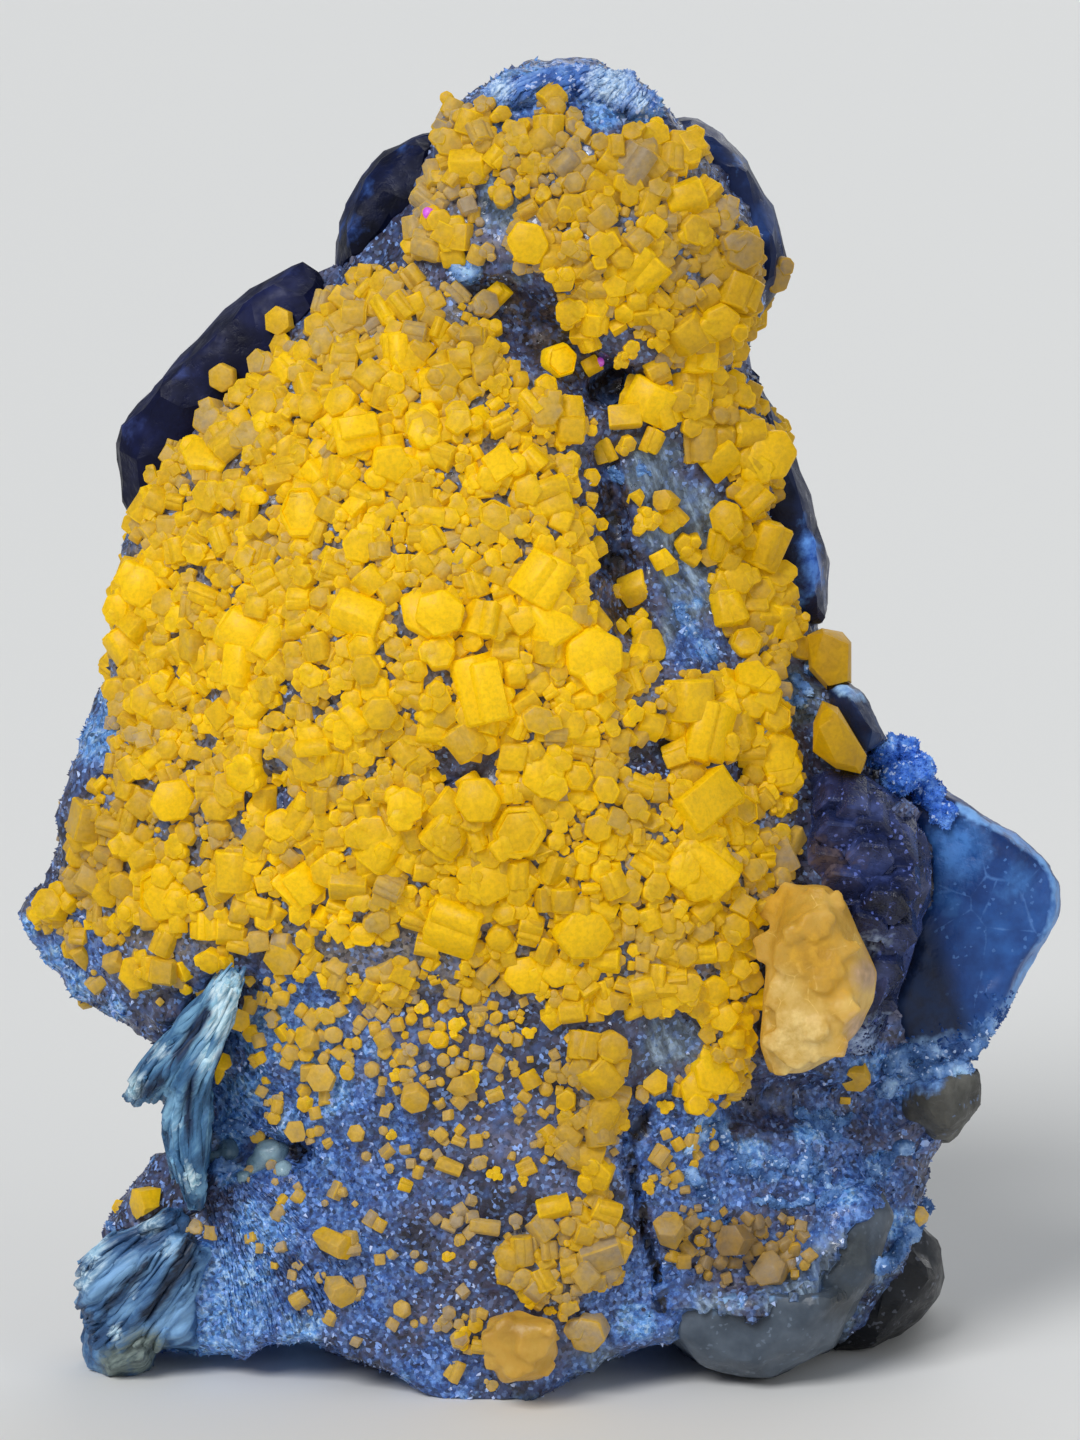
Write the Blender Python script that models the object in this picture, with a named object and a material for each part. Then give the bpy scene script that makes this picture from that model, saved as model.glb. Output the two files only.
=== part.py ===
# Apatite crystals on a quartz matrix, a hand-sized mineral specimen that stands on a flat cut.
# Metres, +Z up. The show face looks along -Y. The origin is under the middle, on the cut.

import math
import random

import bmesh
import bpy
import numpy as np
from mathutils import Matrix, Vector, noise
from mathutils.bvhtree import BVHTree

MM = 0.001

# The show face is laid out on a front view, in units across and down from its top left corner.
# An eye at this distance and angle looks at the view's middle, at AIM_HEIGHT over the cut.
VIEW_UNIT = 0.0900 * MM
VIEW_MIDDLE = (540, 720)
EYE_DISTANCE = 500 * MM
EYE_ANGLE = math.radians(8)
AIM_HEIGHT = 58.8 * MM
ORIGIN = Vector((-0.05, -1.18, 0.0)) * MM

GAP = 0.36 * MM
CRUST = 1.2 * MM
SHARPEST_SWELL = 1.7
SAME_PLACE = 0.001 * MM
MATRIX_FINENESS = 6
MATRIX_FACES = 850
ROCK_FLATNESS = math.radians(6)
CUT_FLATNESS = math.radians(2.5)
BEVEL_FROM = 2.3 * MM
CHIP_DEPTH = 1.3 * MM
CHIP_SHARE = 0.05
SQUARENESS = 0.62
RELIEF_REACH = 5.5 * MM
ROUGH_SIZE = 7 * MM
ROUGH_HEIGHT = 1.1 * MM
ROUGH_OCTAVES = 4
GRAIN_SHARE = 0.6
RIDGE_SHARE = 0.8
RIDGE_PITCH = 0.6
FACES_FRONT = -0.2
CORE_FLOOR = -6 * MM
NEAR = -80 * MM
FAR = 80 * MM
FLOOR_BOX = 300 * MM
SEED = 11

# Rims of the matrix, top to bottom, as across, down and depth in mm.
LEFT_RIM = [
    (545, 66, -4), (500, 74, -4), (470, 92, -3), (450, 112, -3), (436, 150, -2), (420, 190, -2),
    (402, 235, -2), (385, 262, -2), (345, 278, -1), (322, 302, -1), (298, 335, -1), (255, 372, -1),
    (212, 415, -1), (182, 450, 0), (152, 490, 0), (136, 530, 0), (122, 575, 0), (113, 620, 0),
    (110, 660, 0), (104, 695, 0), (90, 722, 0), (80, 760, 0), (66, 792, 0), (61, 830, 0),
    (60, 862, 0), (45, 890, 0), (24, 908, 0), (20, 925, 0), (35, 955, 0), (62, 980, 1),
    (95, 1003, 1), (130, 1016, 2), (165, 1035, 2), (185, 1065, 2), (190, 1110, 2), (180, 1150, 2),
    (140, 1180, 2), (114, 1210, 2), (110, 1235, 2), (125, 1262, 3), (120, 1300, 4), (130, 1345, 5),
    (150, 1420, 6),
]
RIGHT_RIM = [
    (560, 66, -4), (610, 70, -4), (640, 82, -4), (660, 104, -3), (680, 128, -3), (700, 160, -2),
    (735, 200, -2), (760, 240, -2), (765, 285, -1), (752, 330, -1), (742, 365, 0), (750, 395, 0),
    (768, 425, 0), (778, 460, 1), (775, 500, 1), (782, 560, 2), (790, 610, 2), (808, 640, 2),
    (828, 670, 2), (850, 705, 3), (868, 740, 3), (885, 775, 4), (900, 820, 4), (905, 900, 4),
    (900, 960, 4), (905, 1020, 4), (925, 1060, 4), (940, 1090, 4), (940, 1120, 4), (925, 1150, 3),
    (920, 1200, 3), (912, 1240, 3), (885, 1275, 3), (850, 1310, 4), (830, 1345, 5), (815, 1420, 6),
]
# Depth of the show face in mm, as across, down and depth.
RELIEF = [
    (570, 75, -4), (570, 110, -8), (450, 160, -8), (560, 160, -13), (660, 160, -10),
    (430, 230, -9), (530, 240, -15), (640, 250, -17), (720, 230, -10), (750, 290, -8),
    (690, 330, -14), (600, 310, -13), (740, 350, -8), (500, 300, -11), (610, 385, -8),
    (350, 300, -7), (420, 340, -12), (300, 380, -9), (230, 440, -8), (350, 450, -16),
    (450, 440, -17), (530, 480, -17), (170, 520, -8), (260, 540, -15), (380, 560, -19),
    (480, 580, -20), (570, 600, -19), (650, 480, -13), (700, 480, -11), (750, 480, -8),
    (680, 570, -13), (740, 570, -8), (700, 650, -13), (770, 650, -8), (140, 620, -8),
    (220, 650, -15), (340, 680, -20), (450, 690, -21), (560, 690, -21), (640, 690, -19),
    (130, 700, -7), (200, 740, -13), (320, 745, -19), (430, 745, -20), (560, 740, -20),
    (720, 730, -17), (780, 740, -13), (830, 740, -7), (130, 830, -11), (190, 800, -14),
    (300, 840, -17), (400, 840, -20), (520, 830, -20), (640, 820, -19), (720, 850, -19),
    (790, 850, -14), (860, 900, -8), (60, 900, -4), (165, 900, -13), (300, 900, -16),
    (460, 920, -19), (580, 930, -20), (700, 930, -19), (790, 960, -16), (860, 1000, -8),
    (60, 950, -3), (140, 980, -10), (260, 1000, -13), (350, 980, -16), (450, 1000, -17),
    (560, 1010, -18), (680, 1010, -17), (300, 1090, -15), (420, 1090, -17), (540, 1100, -18),
    (640, 1090, -16), (720, 1080, -15), (790, 1110, -10), (870, 1100, -6), (240, 1160, -12),
    (350, 1180, -16), (470, 1200, -17), (590, 1200, -17), (700, 1180, -14), (800, 1180, -12),
    (890, 1180, -5), (240, 1260, -12), (350, 1270, -15), (480, 1290, -17), (600, 1290, -16),
    (720, 1250, -14), (820, 1260, -9), (190, 1330, -8), (330, 1320, -12), (420, 1360, -14),
    (510, 1350, -17), (620, 1330, -14), (500, 1405, -14), (740, 1330, -10),
]
# Depth of the rough back, as across and up in mm, and depth in mm.
BACK_RELIEF = [
    (-38, 6, 14), (-12, 4, 21), (14, 4, 22), (34, 8, 15), (-30, 30, 15), (0, 34, 24), (26, 32, 19),
    (-38, 52, 8), (-14, 56, 20), (14, 60, 19), (30, 56, 10), (-26, 76, 10), (-4, 82, 17),
    (18, 84, 10), (-10, 98, 12), (10, 100, 12), (2, 114, 6),
]
# Furrows pressed into the show face: route, half width in view units, depth in mm.
FURROWS = [
    ([(478, 285), (520, 318), (562, 350), (600, 384)], 24, 3.5),
    ([(606, 380), (624, 392)], 22, 4.0),
    ([(600, 440), (612, 500), (614, 560), (626, 620), (652, 668)], 18, 4.5),
    ([(244, 792), (290, 786), (340, 774), (430, 770), (505, 768)], 13, 2.4),
    ([(632, 756), (662, 758)], 14, 2.2),
    ([(228, 1150), (296, 1156)], 20, 4.5),
    ([(252, 985), (226, 1034), (206, 1086)], 14, 3.0),
    ([(740, 1100), (800, 1104), (868, 1112), (925, 1125)], 28, 4.5),
    ([(870, 1160), (905, 1205)], 14, 2.5),
]
# Under this line of the view, left to right, the matrix ends.
UNDERSIDE = [
    (60, 1350), (160, 1351), (250, 1352), (262, 1341), (318, 1340), (345, 1355), (390, 1372),
    (440, 1396), (480, 1409), (522, 1408), (545, 1395), (580, 1371), (620, 1350), (655, 1336),
    (700, 1346), (790, 1346), (838, 1340), (900, 1322), (960, 1290),
]
BELOW_THE_VIEW = [(1100, 1290), (1100, 1800), (-20, 1800), (-20, 1350)]
CRACK = [(642, 1118), (630, 1140), (631, 1170), (640, 1202), (645, 1236), (654, 1264), (660, 1300),
         (662, 1345)]
CRACK_HALF_WIDTH = 3
CRACK_FLOOR = -8 * MM

# Quartz crystals and broken pieces, each of one or more bits: a bit's outline on the view, then
# its rings as depth in mm and share.
QUARTZ = {
    "smoky_quartz_upper_left": [(
        [(445, 128), (410, 138), (385, 153), (360, 178), (345, 205), (336, 245), (334, 276),
         (375, 282), (405, 250), (432, 190)],
        [(-2, 0.72), (1, 0.97), (4, 1.0), (10, 0.94), (14, 0.6)])],
    "smoky_quartz_left": [(
        [(302, 261), (285, 265), (250, 293), (210, 328), (170, 368), (140, 403), (118, 430),
         (114, 458), (121, 490), (127, 524), (180, 480), (250, 400), (320, 330), (336, 288)],
        [(-3, 0.86), (0, 1.0), (7, 0.95), (12, 0.7)])],
    "smoky_quartz_right_knob": [(
        [(668, 118), (690, 114), (720, 130), (745, 160), (757, 185), (771, 205), (776, 240),
         (789, 262), (780, 290), (768, 310), (753, 332), (700, 320), (680, 200)],
        [(-2, 0.8), (1, 1.0), (8, 0.95), (12, 0.7)])],
    "smoky_quartz_right_flank": [(
        [(750, 362), (765, 395), (785, 430), (792, 455), (800, 500), (820, 540), (829, 562),
         (828, 600), (825, 630), (782, 636), (748, 560), (738, 420)],
        [(-4, 0.72), (-1, 0.96), (3, 1.0), (10, 0.9), (13, 0.6)])],
    "smoky_quartz_lower_right": [(
        [(915, 1216), (940, 1250), (946, 1276), (935, 1301), (900, 1336), (870, 1355), (832, 1353),
         (812, 1310), (850, 1240), (885, 1216)],
        [(0, 0.74), (3, 0.97), (8, 1.0), (17, 0.9), (20, 0.7)])],
    "violet_quartz_crystal": [(
        [(806, 772), (856, 768), (916, 821), (932, 856), (929, 900), (896, 950), (818, 930),
         (800, 840)],
        [(-12.5, 0.7), (-8, 1.0), (5, 0.92)]),
        ([(824, 900), (922, 890), (908, 960), (884, 1030), (862, 1062), (838, 1060), (820, 1000)],
         [(-10.5, 0.72), (-7, 1.0), (5, 0.92)])],
    "blue_quartz_slab": [(
        [(895, 776), (925, 776), (942, 800), (975, 815), (1010, 830), (1045, 860), (1061, 886),
         (1055, 920), (1035, 960), (1010, 1000), (985, 1045), (970, 1062), (905, 1064), (882, 1000),
         (870, 850)],
        [(-2, 0.9), (0, 1.0), (6, 1.0), (9, 0.88)])],
    "grey_quartz_lump": [(
        [(900, 1078), (940, 1068), (978, 1070), (981, 1086), (978, 1103), (965, 1125), (950, 1142),
         (930, 1137), (905, 1120)],
        [(-5, 0.7), (-2, 0.98), (5, 1.0), (11, 0.7)])],
    "blue_quartz_lump": [(
        [(828, 684), (845, 680), (862, 692), (880, 728), (888, 742), (868, 756), (845, 735),
         (832, 710)],
        [(-10, 0.55), (-8, 0.9), (-3, 1.0), (5, 0.8)])],
    "clear_quartz_rim": [(
        [(662, 1294), (700, 1296), (760, 1300), (800, 1296), (852, 1290), (832, 1345),
         (800, 1357), (770, 1371), (740, 1371), (700, 1359), (665, 1333)],
        [(-13.5, 0.82), (-10, 0.99), (-4, 1.0), (8, 0.9), (12, 0.7)]),
        ([(812, 1232), (846, 1192), (876, 1190), (890, 1216), (872, 1270), (846, 1318),
          (806, 1320), (796, 1270)],
         [(-11.5, 0.75), (-8, 1.0), (-1, 0.95)])],
}
# Each piece is cut clear of those before it.
QUARTZ_ORDER = [
    "violet_quartz_crystal", "blue_quartz_lump", "grey_quartz_lump", "clear_quartz_rim",
    "blue_quartz_slab", "smoky_quartz_lower_right", "smoky_quartz_right_knob",
    "smoky_quartz_right_flank", "smoky_quartz_upper_left", "smoky_quartz_left",
]
# Round knobs, as across, down, half width and depth in mm, each turned on from the last.
KNOB_TURN = 0.9
KNOBS = [
    (878, 750, 20, -4), (902, 752, 18, -2), (918, 770, 18, -3), (898, 778, 19, -5),
    (928, 792, 17, -2), (916, 804, 15, -5), (942, 812, 15, -2),
]
# Fibrous blades: strips as from, to, half width in view units at each end, and depth in mm at each.
BLADES = {
    "mica_blade_upper": [
        ((236, 972), (190, 1060), 13, 20, -18, -14), ((222, 984), (156, 1078), 12, 22, -16, -11),
        ((206, 1010), (146, 1094), 13, 19, -13, -8), ((198, 1036), (188, 1140), 16, 16, -14, -11),
        ((172, 1064), (184, 1172), 18, 13, -10, -8), ((194, 1090), (198, 1204), 13, 8, -12, -11),
    ],
    "mica_blade_lower": [
        ((176, 1216), (106, 1284), 18, 28, -10, -4), ((186, 1236), (122, 1340), 20, 32, -11, -5),
        ((196, 1250), (172, 1334), 20, 28, -10, -7), ((150, 1226), (98, 1280), 12, 20, -7, -2),
        ((124, 1322), (132, 1358), 26, 20, -5, -4), ((126, 1306), (106, 1362), 26, 22, -8, -5),
    ],
    "mica_cap": [
        ((490, 100), (566, 86), 17, 19, -7, -7.5), ((550, 84), (630, 90), 18, 18, -6.5, -7),
        ((606, 88), (650, 112), 18, 14, -8, -8), ((516, 84), (606, 79), 14, 14, -3.5, -3.5),
        ((590, 106), (652, 120), 14, 12, -11, -10),
    ],
}
# Broken cores under the blades, set out as the quartz is.
BLADE_CORES = {
    "mica_blade_upper": [
        ([(242, 966), (220, 972), (170, 1036), (128, 1090), (134, 1098), (200, 1094), (226, 1030)],
         [(-16.5, 0.8), (-14, 1.0), (-7, 1.0)]),
        ([(162, 1080), (172, 1140), (190, 1204), (204, 1198), (212, 1110), (208, 1066)],
         [(-15, 0.75), (-13, 1.0), (-6, 1.0)]),
    ],
    "mica_blade_lower": [
        ([(168, 1206), (124, 1242), (86, 1256), (78, 1292), (84, 1326), (150, 1349), (200, 1349),
          (204, 1250)], [(-10.5, 0.75), (-8, 0.98), (0, 1.0)]),
        ([(84, 1322), (83, 1360), (106, 1383), (134, 1377), (153, 1366), (157, 1340), (124, 1310)],
         [(-9, 0.7), (-6.5, 1.0), (-1, 1.0)]),
    ],
    "mica_cap": [],
}
BLADE_FLATNESS = 0.7

# Fields of apatite crust, each with the regions that it covers on the view.
CRUST_REGIONS = {
    "apatite_crust": [
        [(468, 102), (502, 124), (536, 106), (552, 82), (572, 84), (592, 124), (625, 130),
         (655, 124), (700, 140), (716, 200), (752, 230), (764, 300), (742, 340), (722, 385),
         (700, 430), (644, 430), (644, 396), (650, 362), (590, 345), (540, 300), (500, 268), (440, 262), (402, 268), (408, 230), (436, 160),
         (444, 118)],
        [(335, 292), (400, 262), (470, 268), (482, 300), (500, 350), (560, 372), (590, 398),
         (600, 440), (582, 470), (590, 560), (600, 600), (648, 625), (656, 672), (700, 668),
         (790, 668), (806, 780), (800, 880), (762, 930), (748, 1040), (752, 1092), (700, 1118),
         (668, 1090), (690, 1020), (620, 1016), (560, 1030), (500, 1000), (430, 985), (360, 900),
         (280, 905), (230, 940), (160, 925), (100, 942), (34, 930), (26, 912), (62, 872),
         (70, 800), (120, 762), (108, 700), (116, 610), (150, 520), (190, 440), (270, 362)],
        [(640, 372), (745, 372), (792, 440), (780, 520), (798, 600), (830, 668), (700, 690),
         (698, 600), (704, 500), (690, 430)],
    ],
    "apatite_vein": [
        [(566, 1044), (622, 1038), (634, 1086), (622, 1130), (630, 1178), (610, 1202), (636, 1240),
         (618, 1284), (576, 1292), (548, 1306), (504, 1290), (488, 1250), (514, 1222), (548, 1226),
         (584, 1180), (560, 1150), (580, 1104)],
    ],
}
CRUST_WINDOWS = [
    [(250, 776), (300, 778), (292, 806), (252, 812)],
    [(432, 756), (500, 758), (496, 776), (430, 780)],
    [(150, 862), (210, 850), (206, 866), (140, 886)],
    [(700, 470), (736, 500), (712, 560), (690, 540)],
]
CRUST_BACK = -1.0 * MM

# Crystals of each field that show their ends, lean, or lie, as across, down and half width.
FACING = {
    "apatite_crust": [
        (528, 243, 23), (305, 515, 28), (425, 615, 30), (543, 775, 23), (175, 800, 24),
        (490, 880, 28), (580, 930, 33), (765, 455, 33), (740, 395, 15), (495, 290, 14),
        (700, 870, 38), (530, 612, 33), (502, 460, 28), (455, 925, 36), (365, 550, 32),
        (700, 730, 38), (165, 895, 32), (515, 835, 30), (555, 975, 30), (150, 588, 33),
        (340, 727, 19), (400, 850, 34)],
    "apatite_vein": [(553, 1206, 24)],
}
LEANING = {
    "apatite_crust": [
        (470, 162, 21), (445, 232, 21), (690, 152, 24), (685, 205, 22), (600, 250, 22),
        (645, 270, 26), (730, 290, 25), (720, 325, 26), (740, 250, 22), (685, 335, 22),
        (553, 362, 19), (640, 402, 24), (705, 358, 22), (400, 350, 23), (325, 342, 20),
        (355, 437, 26), (235, 430, 24), (200, 465, 33), (425, 430, 26), (385, 470, 26),
        (240, 500, 20), (240, 635, 29), (240, 667, 23), (360, 615, 26), (250, 755, 21),
        (310, 750, 24), (130, 838, 28), (85, 822, 25), (60, 908, 26), (545, 575, 27),
        (590, 660, 38), (480, 685, 38), (650, 690, 27), (690, 692, 34), (745, 688, 27),
        (770, 758, 33), (480, 620, 22), (640, 640, 26), (445, 832, 28), (375, 828, 26),
        (700, 802, 38), (780, 862, 29), (640, 890, 28), (700, 965, 26), (655, 990, 24),
        (750, 1010, 26), (745, 1045, 26), (710, 1080, 38), (235, 870, 24), (300, 888, 22),
        (720, 465, 27), (750, 498, 22), (728, 525, 25), (765, 542, 27), (735, 590, 23),
        (778, 622, 22), (785, 652, 25), (770, 280, 20), (140, 700, 21), (600, 850, 22)],
    "apatite_vein": [
        (600, 1070, 20), (598, 1120, 20), (600, 1172, 23), (525, 1250, 20), (600, 1250, 20)],
}
LYING = {
    "apatite_crust": [
        (555, 503, 18), (140, 760, 15), (450, 660, 17), (215, 955, 17), (600, 700, 15),
        (285, 590, 16), (430, 540, 17), (175, 640, 16)],
    "apatite_vein": [(545, 1280, 15)],
}
# Crystals that stand alone on the quartz. Each is a piece of its own.
LONE_FACING = [(222, 1058, 14), (710, 557, 13), (400, 965, 13), (355, 1133, 12)]
LONE_LEANING = [
    (275, 320, 19), (220, 378, 19), (135, 975, 26), (75, 945, 14), (280, 960, 24), (240, 1020, 15),
    (303, 1036, 16), (320, 1078, 19), (387, 990, 16), (475, 985, 13), (415, 1104, 19),
    (297, 1132, 15), (350, 1250, 17), (655, 1080, 17), (765, 1266, 25), (725, 1240, 22),
    (668, 1222, 20), (345, 1298, 18), (400, 1308, 12), (470, 1084, 14), (135, 1206, 24),
    (672, 570, 14), (660, 500, 14), (634, 502, 11), (855, 1084, 20),
]
LONE_LYING = [(450, 1165, 11), (485, 1225, 13)]
# A crystal's lean from the surface's way out, and its sizes as shares of its radius.
FACING_LEAN = 0.2
LEANING_LEAN = 0.7
TO_THE_EYE = 1.2
STANDS_OUT = (0.6, 1.15)
ROOT = 0.8
ROOT_LEAST = 1.5 * MM
TOP_BEVEL = 0.16
LYING_LENGTH = 3.0
LYING_TURN = 0.5
LYING_RISE = 0.3
# Odd crystals and masses, set out as the quartz is.
MASSES = {
    "apatite_pale_mass": [(
        [(790, 884), (828, 880), (846, 898), (846, 930), (862, 960), (880, 972), (874, 1000),
         (860, 1030), (836, 1058), (800, 1077), (770, 1072), (758, 1046), (764, 1000), (766, 940)],
        [(-21, 0.8), (-17.5, 1.0), (-8, 0.97)])],
    "apatite_bottom_mass": [(
        [(488, 1318), (520, 1308), (556, 1320), (558, 1352), (544, 1380), (500, 1386), (484, 1358)],
        [(-21, 0.7), (-19.5, 0.95), (-15, 1.0)])],
    "apatite_boot_crystal": [(
        [(822, 700), (838, 706), (846, 738), (868, 756), (862, 776), (836, 770), (812, 752),
         (812, 722)],
        [(-15, 0.75), (-13.5, 0.97), (-5, 1.0)])],
    "apatite_short_prism": [(
        [(806, 634), (822, 628), (843, 631), (852, 642), (852, 688), (828, 692), (808, 670)],
        [(-9, 0.84), (-7.5, 0.98), (1, 1.0), (3, 0.8)])],
}

MATRIX_COLOUR = (0.070, 0.075, 0.140)
APATITE_COLOUR = (0.800, 0.420, 0.010)
PALE_COLOUR = (0.620, 0.400, 0.110)
FINISHES = {
    "quartz_matrix": (MATRIX_COLOUR, 0.6), "smoky": ((0.020, 0.028, 0.070), 0.2),
    "violet": ((0.030, 0.030, 0.120), 0.25), "blue": ((0.050, 0.120, 0.330), 0.3),
    "knobbly": ((0.060, 0.160, 0.480), 0.4), "grey": ((0.070, 0.073, 0.075), 0.5),
    "clear": ((0.100, 0.130, 0.150), 0.3), "mica": ((0.170, 0.330, 0.560), 0.5),
    "apatite_pale_mass": (PALE_COLOUR, 0.35), "apatite_bottom_mass": (PALE_COLOUR, 0.4),
    "apatite": (APATITE_COLOUR, 0.4),
}


# Point of space that the view shows at this place, at this depth behind the middle plane.
def at(across, down, depth):
    aim = Vector((0, 0, AIM_HEIGHT))
    back = Vector((0, math.cos(EYE_ANGLE), -math.sin(EYE_ANGLE)))
    up = Vector((0, math.sin(EYE_ANGLE), math.cos(EYE_ANGLE)))
    eye = aim - back * EYE_DISTANCE
    seen = aim + up * ((VIEW_MIDDLE[1] - down) * VIEW_UNIT)
    seen.x += (across - VIEW_MIDDLE[0]) * VIEW_UNIT
    ray = seen - eye
    return eye + ray * ((depth - eye.y) / ray.y) - ORIGIN


# Place on the view where a point of space is seen.
def seen_at(point):
    aim = Vector((0, 0, AIM_HEIGHT))
    back = Vector((0, math.cos(EYE_ANGLE), -math.sin(EYE_ANGLE)))
    up = Vector((0, math.sin(EYE_ANGLE), math.cos(EYE_ANGLE)))
    ray = Vector(point) + ORIGIN - (aim - back * EYE_DISTANCE)
    share = EYE_DISTANCE / ray.dot(back) / VIEW_UNIT
    return VIEW_MIDDLE[0] + ray.x * share, VIEW_MIDDLE[1] - ray.dot(up) * share


def link(name, mesh, collection):
    obj = bpy.data.objects.new(name, mesh)
    collection.objects.link(obj)
    return obj


def object_from(bm, name, collection):
    bmesh.ops.recalc_face_normals(bm, faces=bm.faces)
    if bm.calc_volume(signed=True) < 0:
        bmesh.ops.reverse_faces(bm, faces=bm.faces)
    mesh = bpy.data.meshes.new(name)
    bm.to_mesh(mesh)
    bm.free()
    return link(name, mesh, collection)


# The object's mesh with its modifiers taken up.
def settle(obj):
    bpy.context.view_layer.update()
    graph = bpy.context.evaluated_depsgraph_get()
    mesh = bpy.data.meshes.new_from_object(obj.evaluated_get(graph))
    old = obj.data
    obj.modifiers.clear()
    obj.data = mesh
    bpy.data.meshes.remove(old)


# The exact solver leaves open edges where many crystals and blades meet, so those are woven.
def combine(obj, other, operation, woven=False):
    cut = obj.modifiers.new(operation.lower(), "BOOLEAN")
    cut.operation = operation
    cut.solver = "MANIFOLD" if woven else "EXACT"
    cut.object = other
    settle(obj)


def discard(*objects):
    for obj in objects:
        mesh = obj.data
        bpy.data.objects.remove(obj)
        bpy.data.meshes.remove(mesh)


# A copy whose surface stands out by this much.
def swollen(obj, amount, name, collection):
    bm = bmesh.new()
    bm.from_mesh(obj.data)
    bmesh.ops.remove_doubles(bm, verts=bm.verts, dist=SAME_PLACE)
    bmesh.ops.triangulate(bm, faces=bm.faces)
    bm.normal_update()
    moves = [vert.normal * amount * min(SHARPEST_SWELL, vert.calc_shell_factor()) for vert in bm.verts]
    for vert, move in zip(bm.verts, moves):
        vert.co += move
    return object_from(bm, name, collection)


# Joins neighbouring faces that lie nearly in one plane.
def tidy_faces(obj, flatness):
    flat = obj.modifiers.new("flat", "DECIMATE")
    flat.decimate_type = "DISSOLVE"
    flat.angle_limit = flatness
    whole = obj.modifiers.new("triangles", "TRIANGULATE")
    whole.min_vertices = 4
    settle(obj)


# Only the largest of the bodies that a cut has left.
def keep_largest(obj):
    bm = bmesh.new()
    bm.from_mesh(obj.data)
    bmesh.ops.remove_doubles(bm, verts=bm.verts, dist=SAME_PLACE)
    left = set(bm.verts)
    bodies = []
    while left:
        body, edge = set(), [left.pop()]
        while edge:
            vert = edge.pop()
            body.add(vert)
            near = [e.other_vert(vert) for e in vert.link_edges]
            edge += [n for n in near if n in left]
            left.difference_update(near)
        bodies.append(body)
    bodies.sort(key=len)
    for body in bodies[:-1]:
        bmesh.ops.delete(bm, geom=list(body), context="VERTS")
    bmesh.ops.triangulate(bm, faces=bm.faces)
    bm.to_mesh(obj.data)
    bm.free()


# A closed prism whose sides run along the lines of sight, from near to far.
def view_prism(outline, near, far, name, collection):
    bm = bmesh.new()
    face = bm.faces.new([bm.verts.new(at(u, v, near)) for u, v in outline])
    rear = bmesh.ops.extrude_face_region(bm, geom=[face])["geom"]
    for vert in [g for g in rear if isinstance(g, bmesh.types.BMVert)]:
        vert.co = at(*seen_at(vert.co), far)
    bmesh.ops.triangulate(bm, faces=bm.faces)
    return object_from(bm, name, collection)


# A closed chip through rings of one outline, each at its depth and drawn in to its share.
def ringed_piece(outline, rings, name, collection):
    chipped = random.Random(name)
    middle = [sum(p[i] for p in outline) / len(outline) for i in (0, 1)]
    bm = bmesh.new()
    for depth, share in rings:
        for u, v in outline:
            drawn = share - chipped.uniform(0, CHIP_SHARE)
            place = [m + (p - m) * drawn for m, p in zip(middle, (u, v))]
            bm.verts.new(at(*place, depth * MM + chipped.uniform(-CHIP_DEPTH, CHIP_DEPTH)))
    hull = bmesh.ops.convex_hull(bm, input=bm.verts)
    inside = hull["geom_interior"] + hull["geom_unused"]
    spare = {g for g in inside if isinstance(g, bmesh.types.BMVert)}
    bmesh.ops.delete(bm, geom=list(spare), context="VERTS")
    return object_from(bm, name, collection)


def chips(bits, name, collection):
    return [ringed_piece(*bit, f"{name}_{i}", collection) for i, bit in enumerate(bits)]


def smooth_field(points, x, z):
    places = np.array([p[:2] for p in points])
    depths = np.array([p[2] for p in points])
    gap = (x[:, None] - places[:, 0]) ** 2 + (z[:, None] - places[:, 1]) ** 2
    nearest = gap.min(axis=1, keepdims=True)
    weight = np.exp((nearest - gap) / (2 * RELIEF_REACH**2))
    return (weight * depths).sum(axis=1) / weight.sum(axis=1)


def rim_lines(rim, heights):
    points = np.array([at(u, v, depth * MM) for u, v, depth in rim])[::-1]
    across = np.interp(heights, points[:, 2], points[:, 0])
    deep = np.interp(heights, points[:, 2], points[:, 1])
    return across, deep


def furrow_depth(place):
    deepest = 0.0
    for route, half_width, depth in FURROWS:
        for start, end in zip(route, route[1:]):
            a, b = Vector(start), Vector(end)
            along = max(0.0, min(1.0, (place - a).dot(b - a) / (b - a).length_squared))
            off = (place - a - (b - a) * along).length / half_width
            deepest = max(deepest, depth * MM * max(0.0, 1 - off * off))
    return deepest


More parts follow.
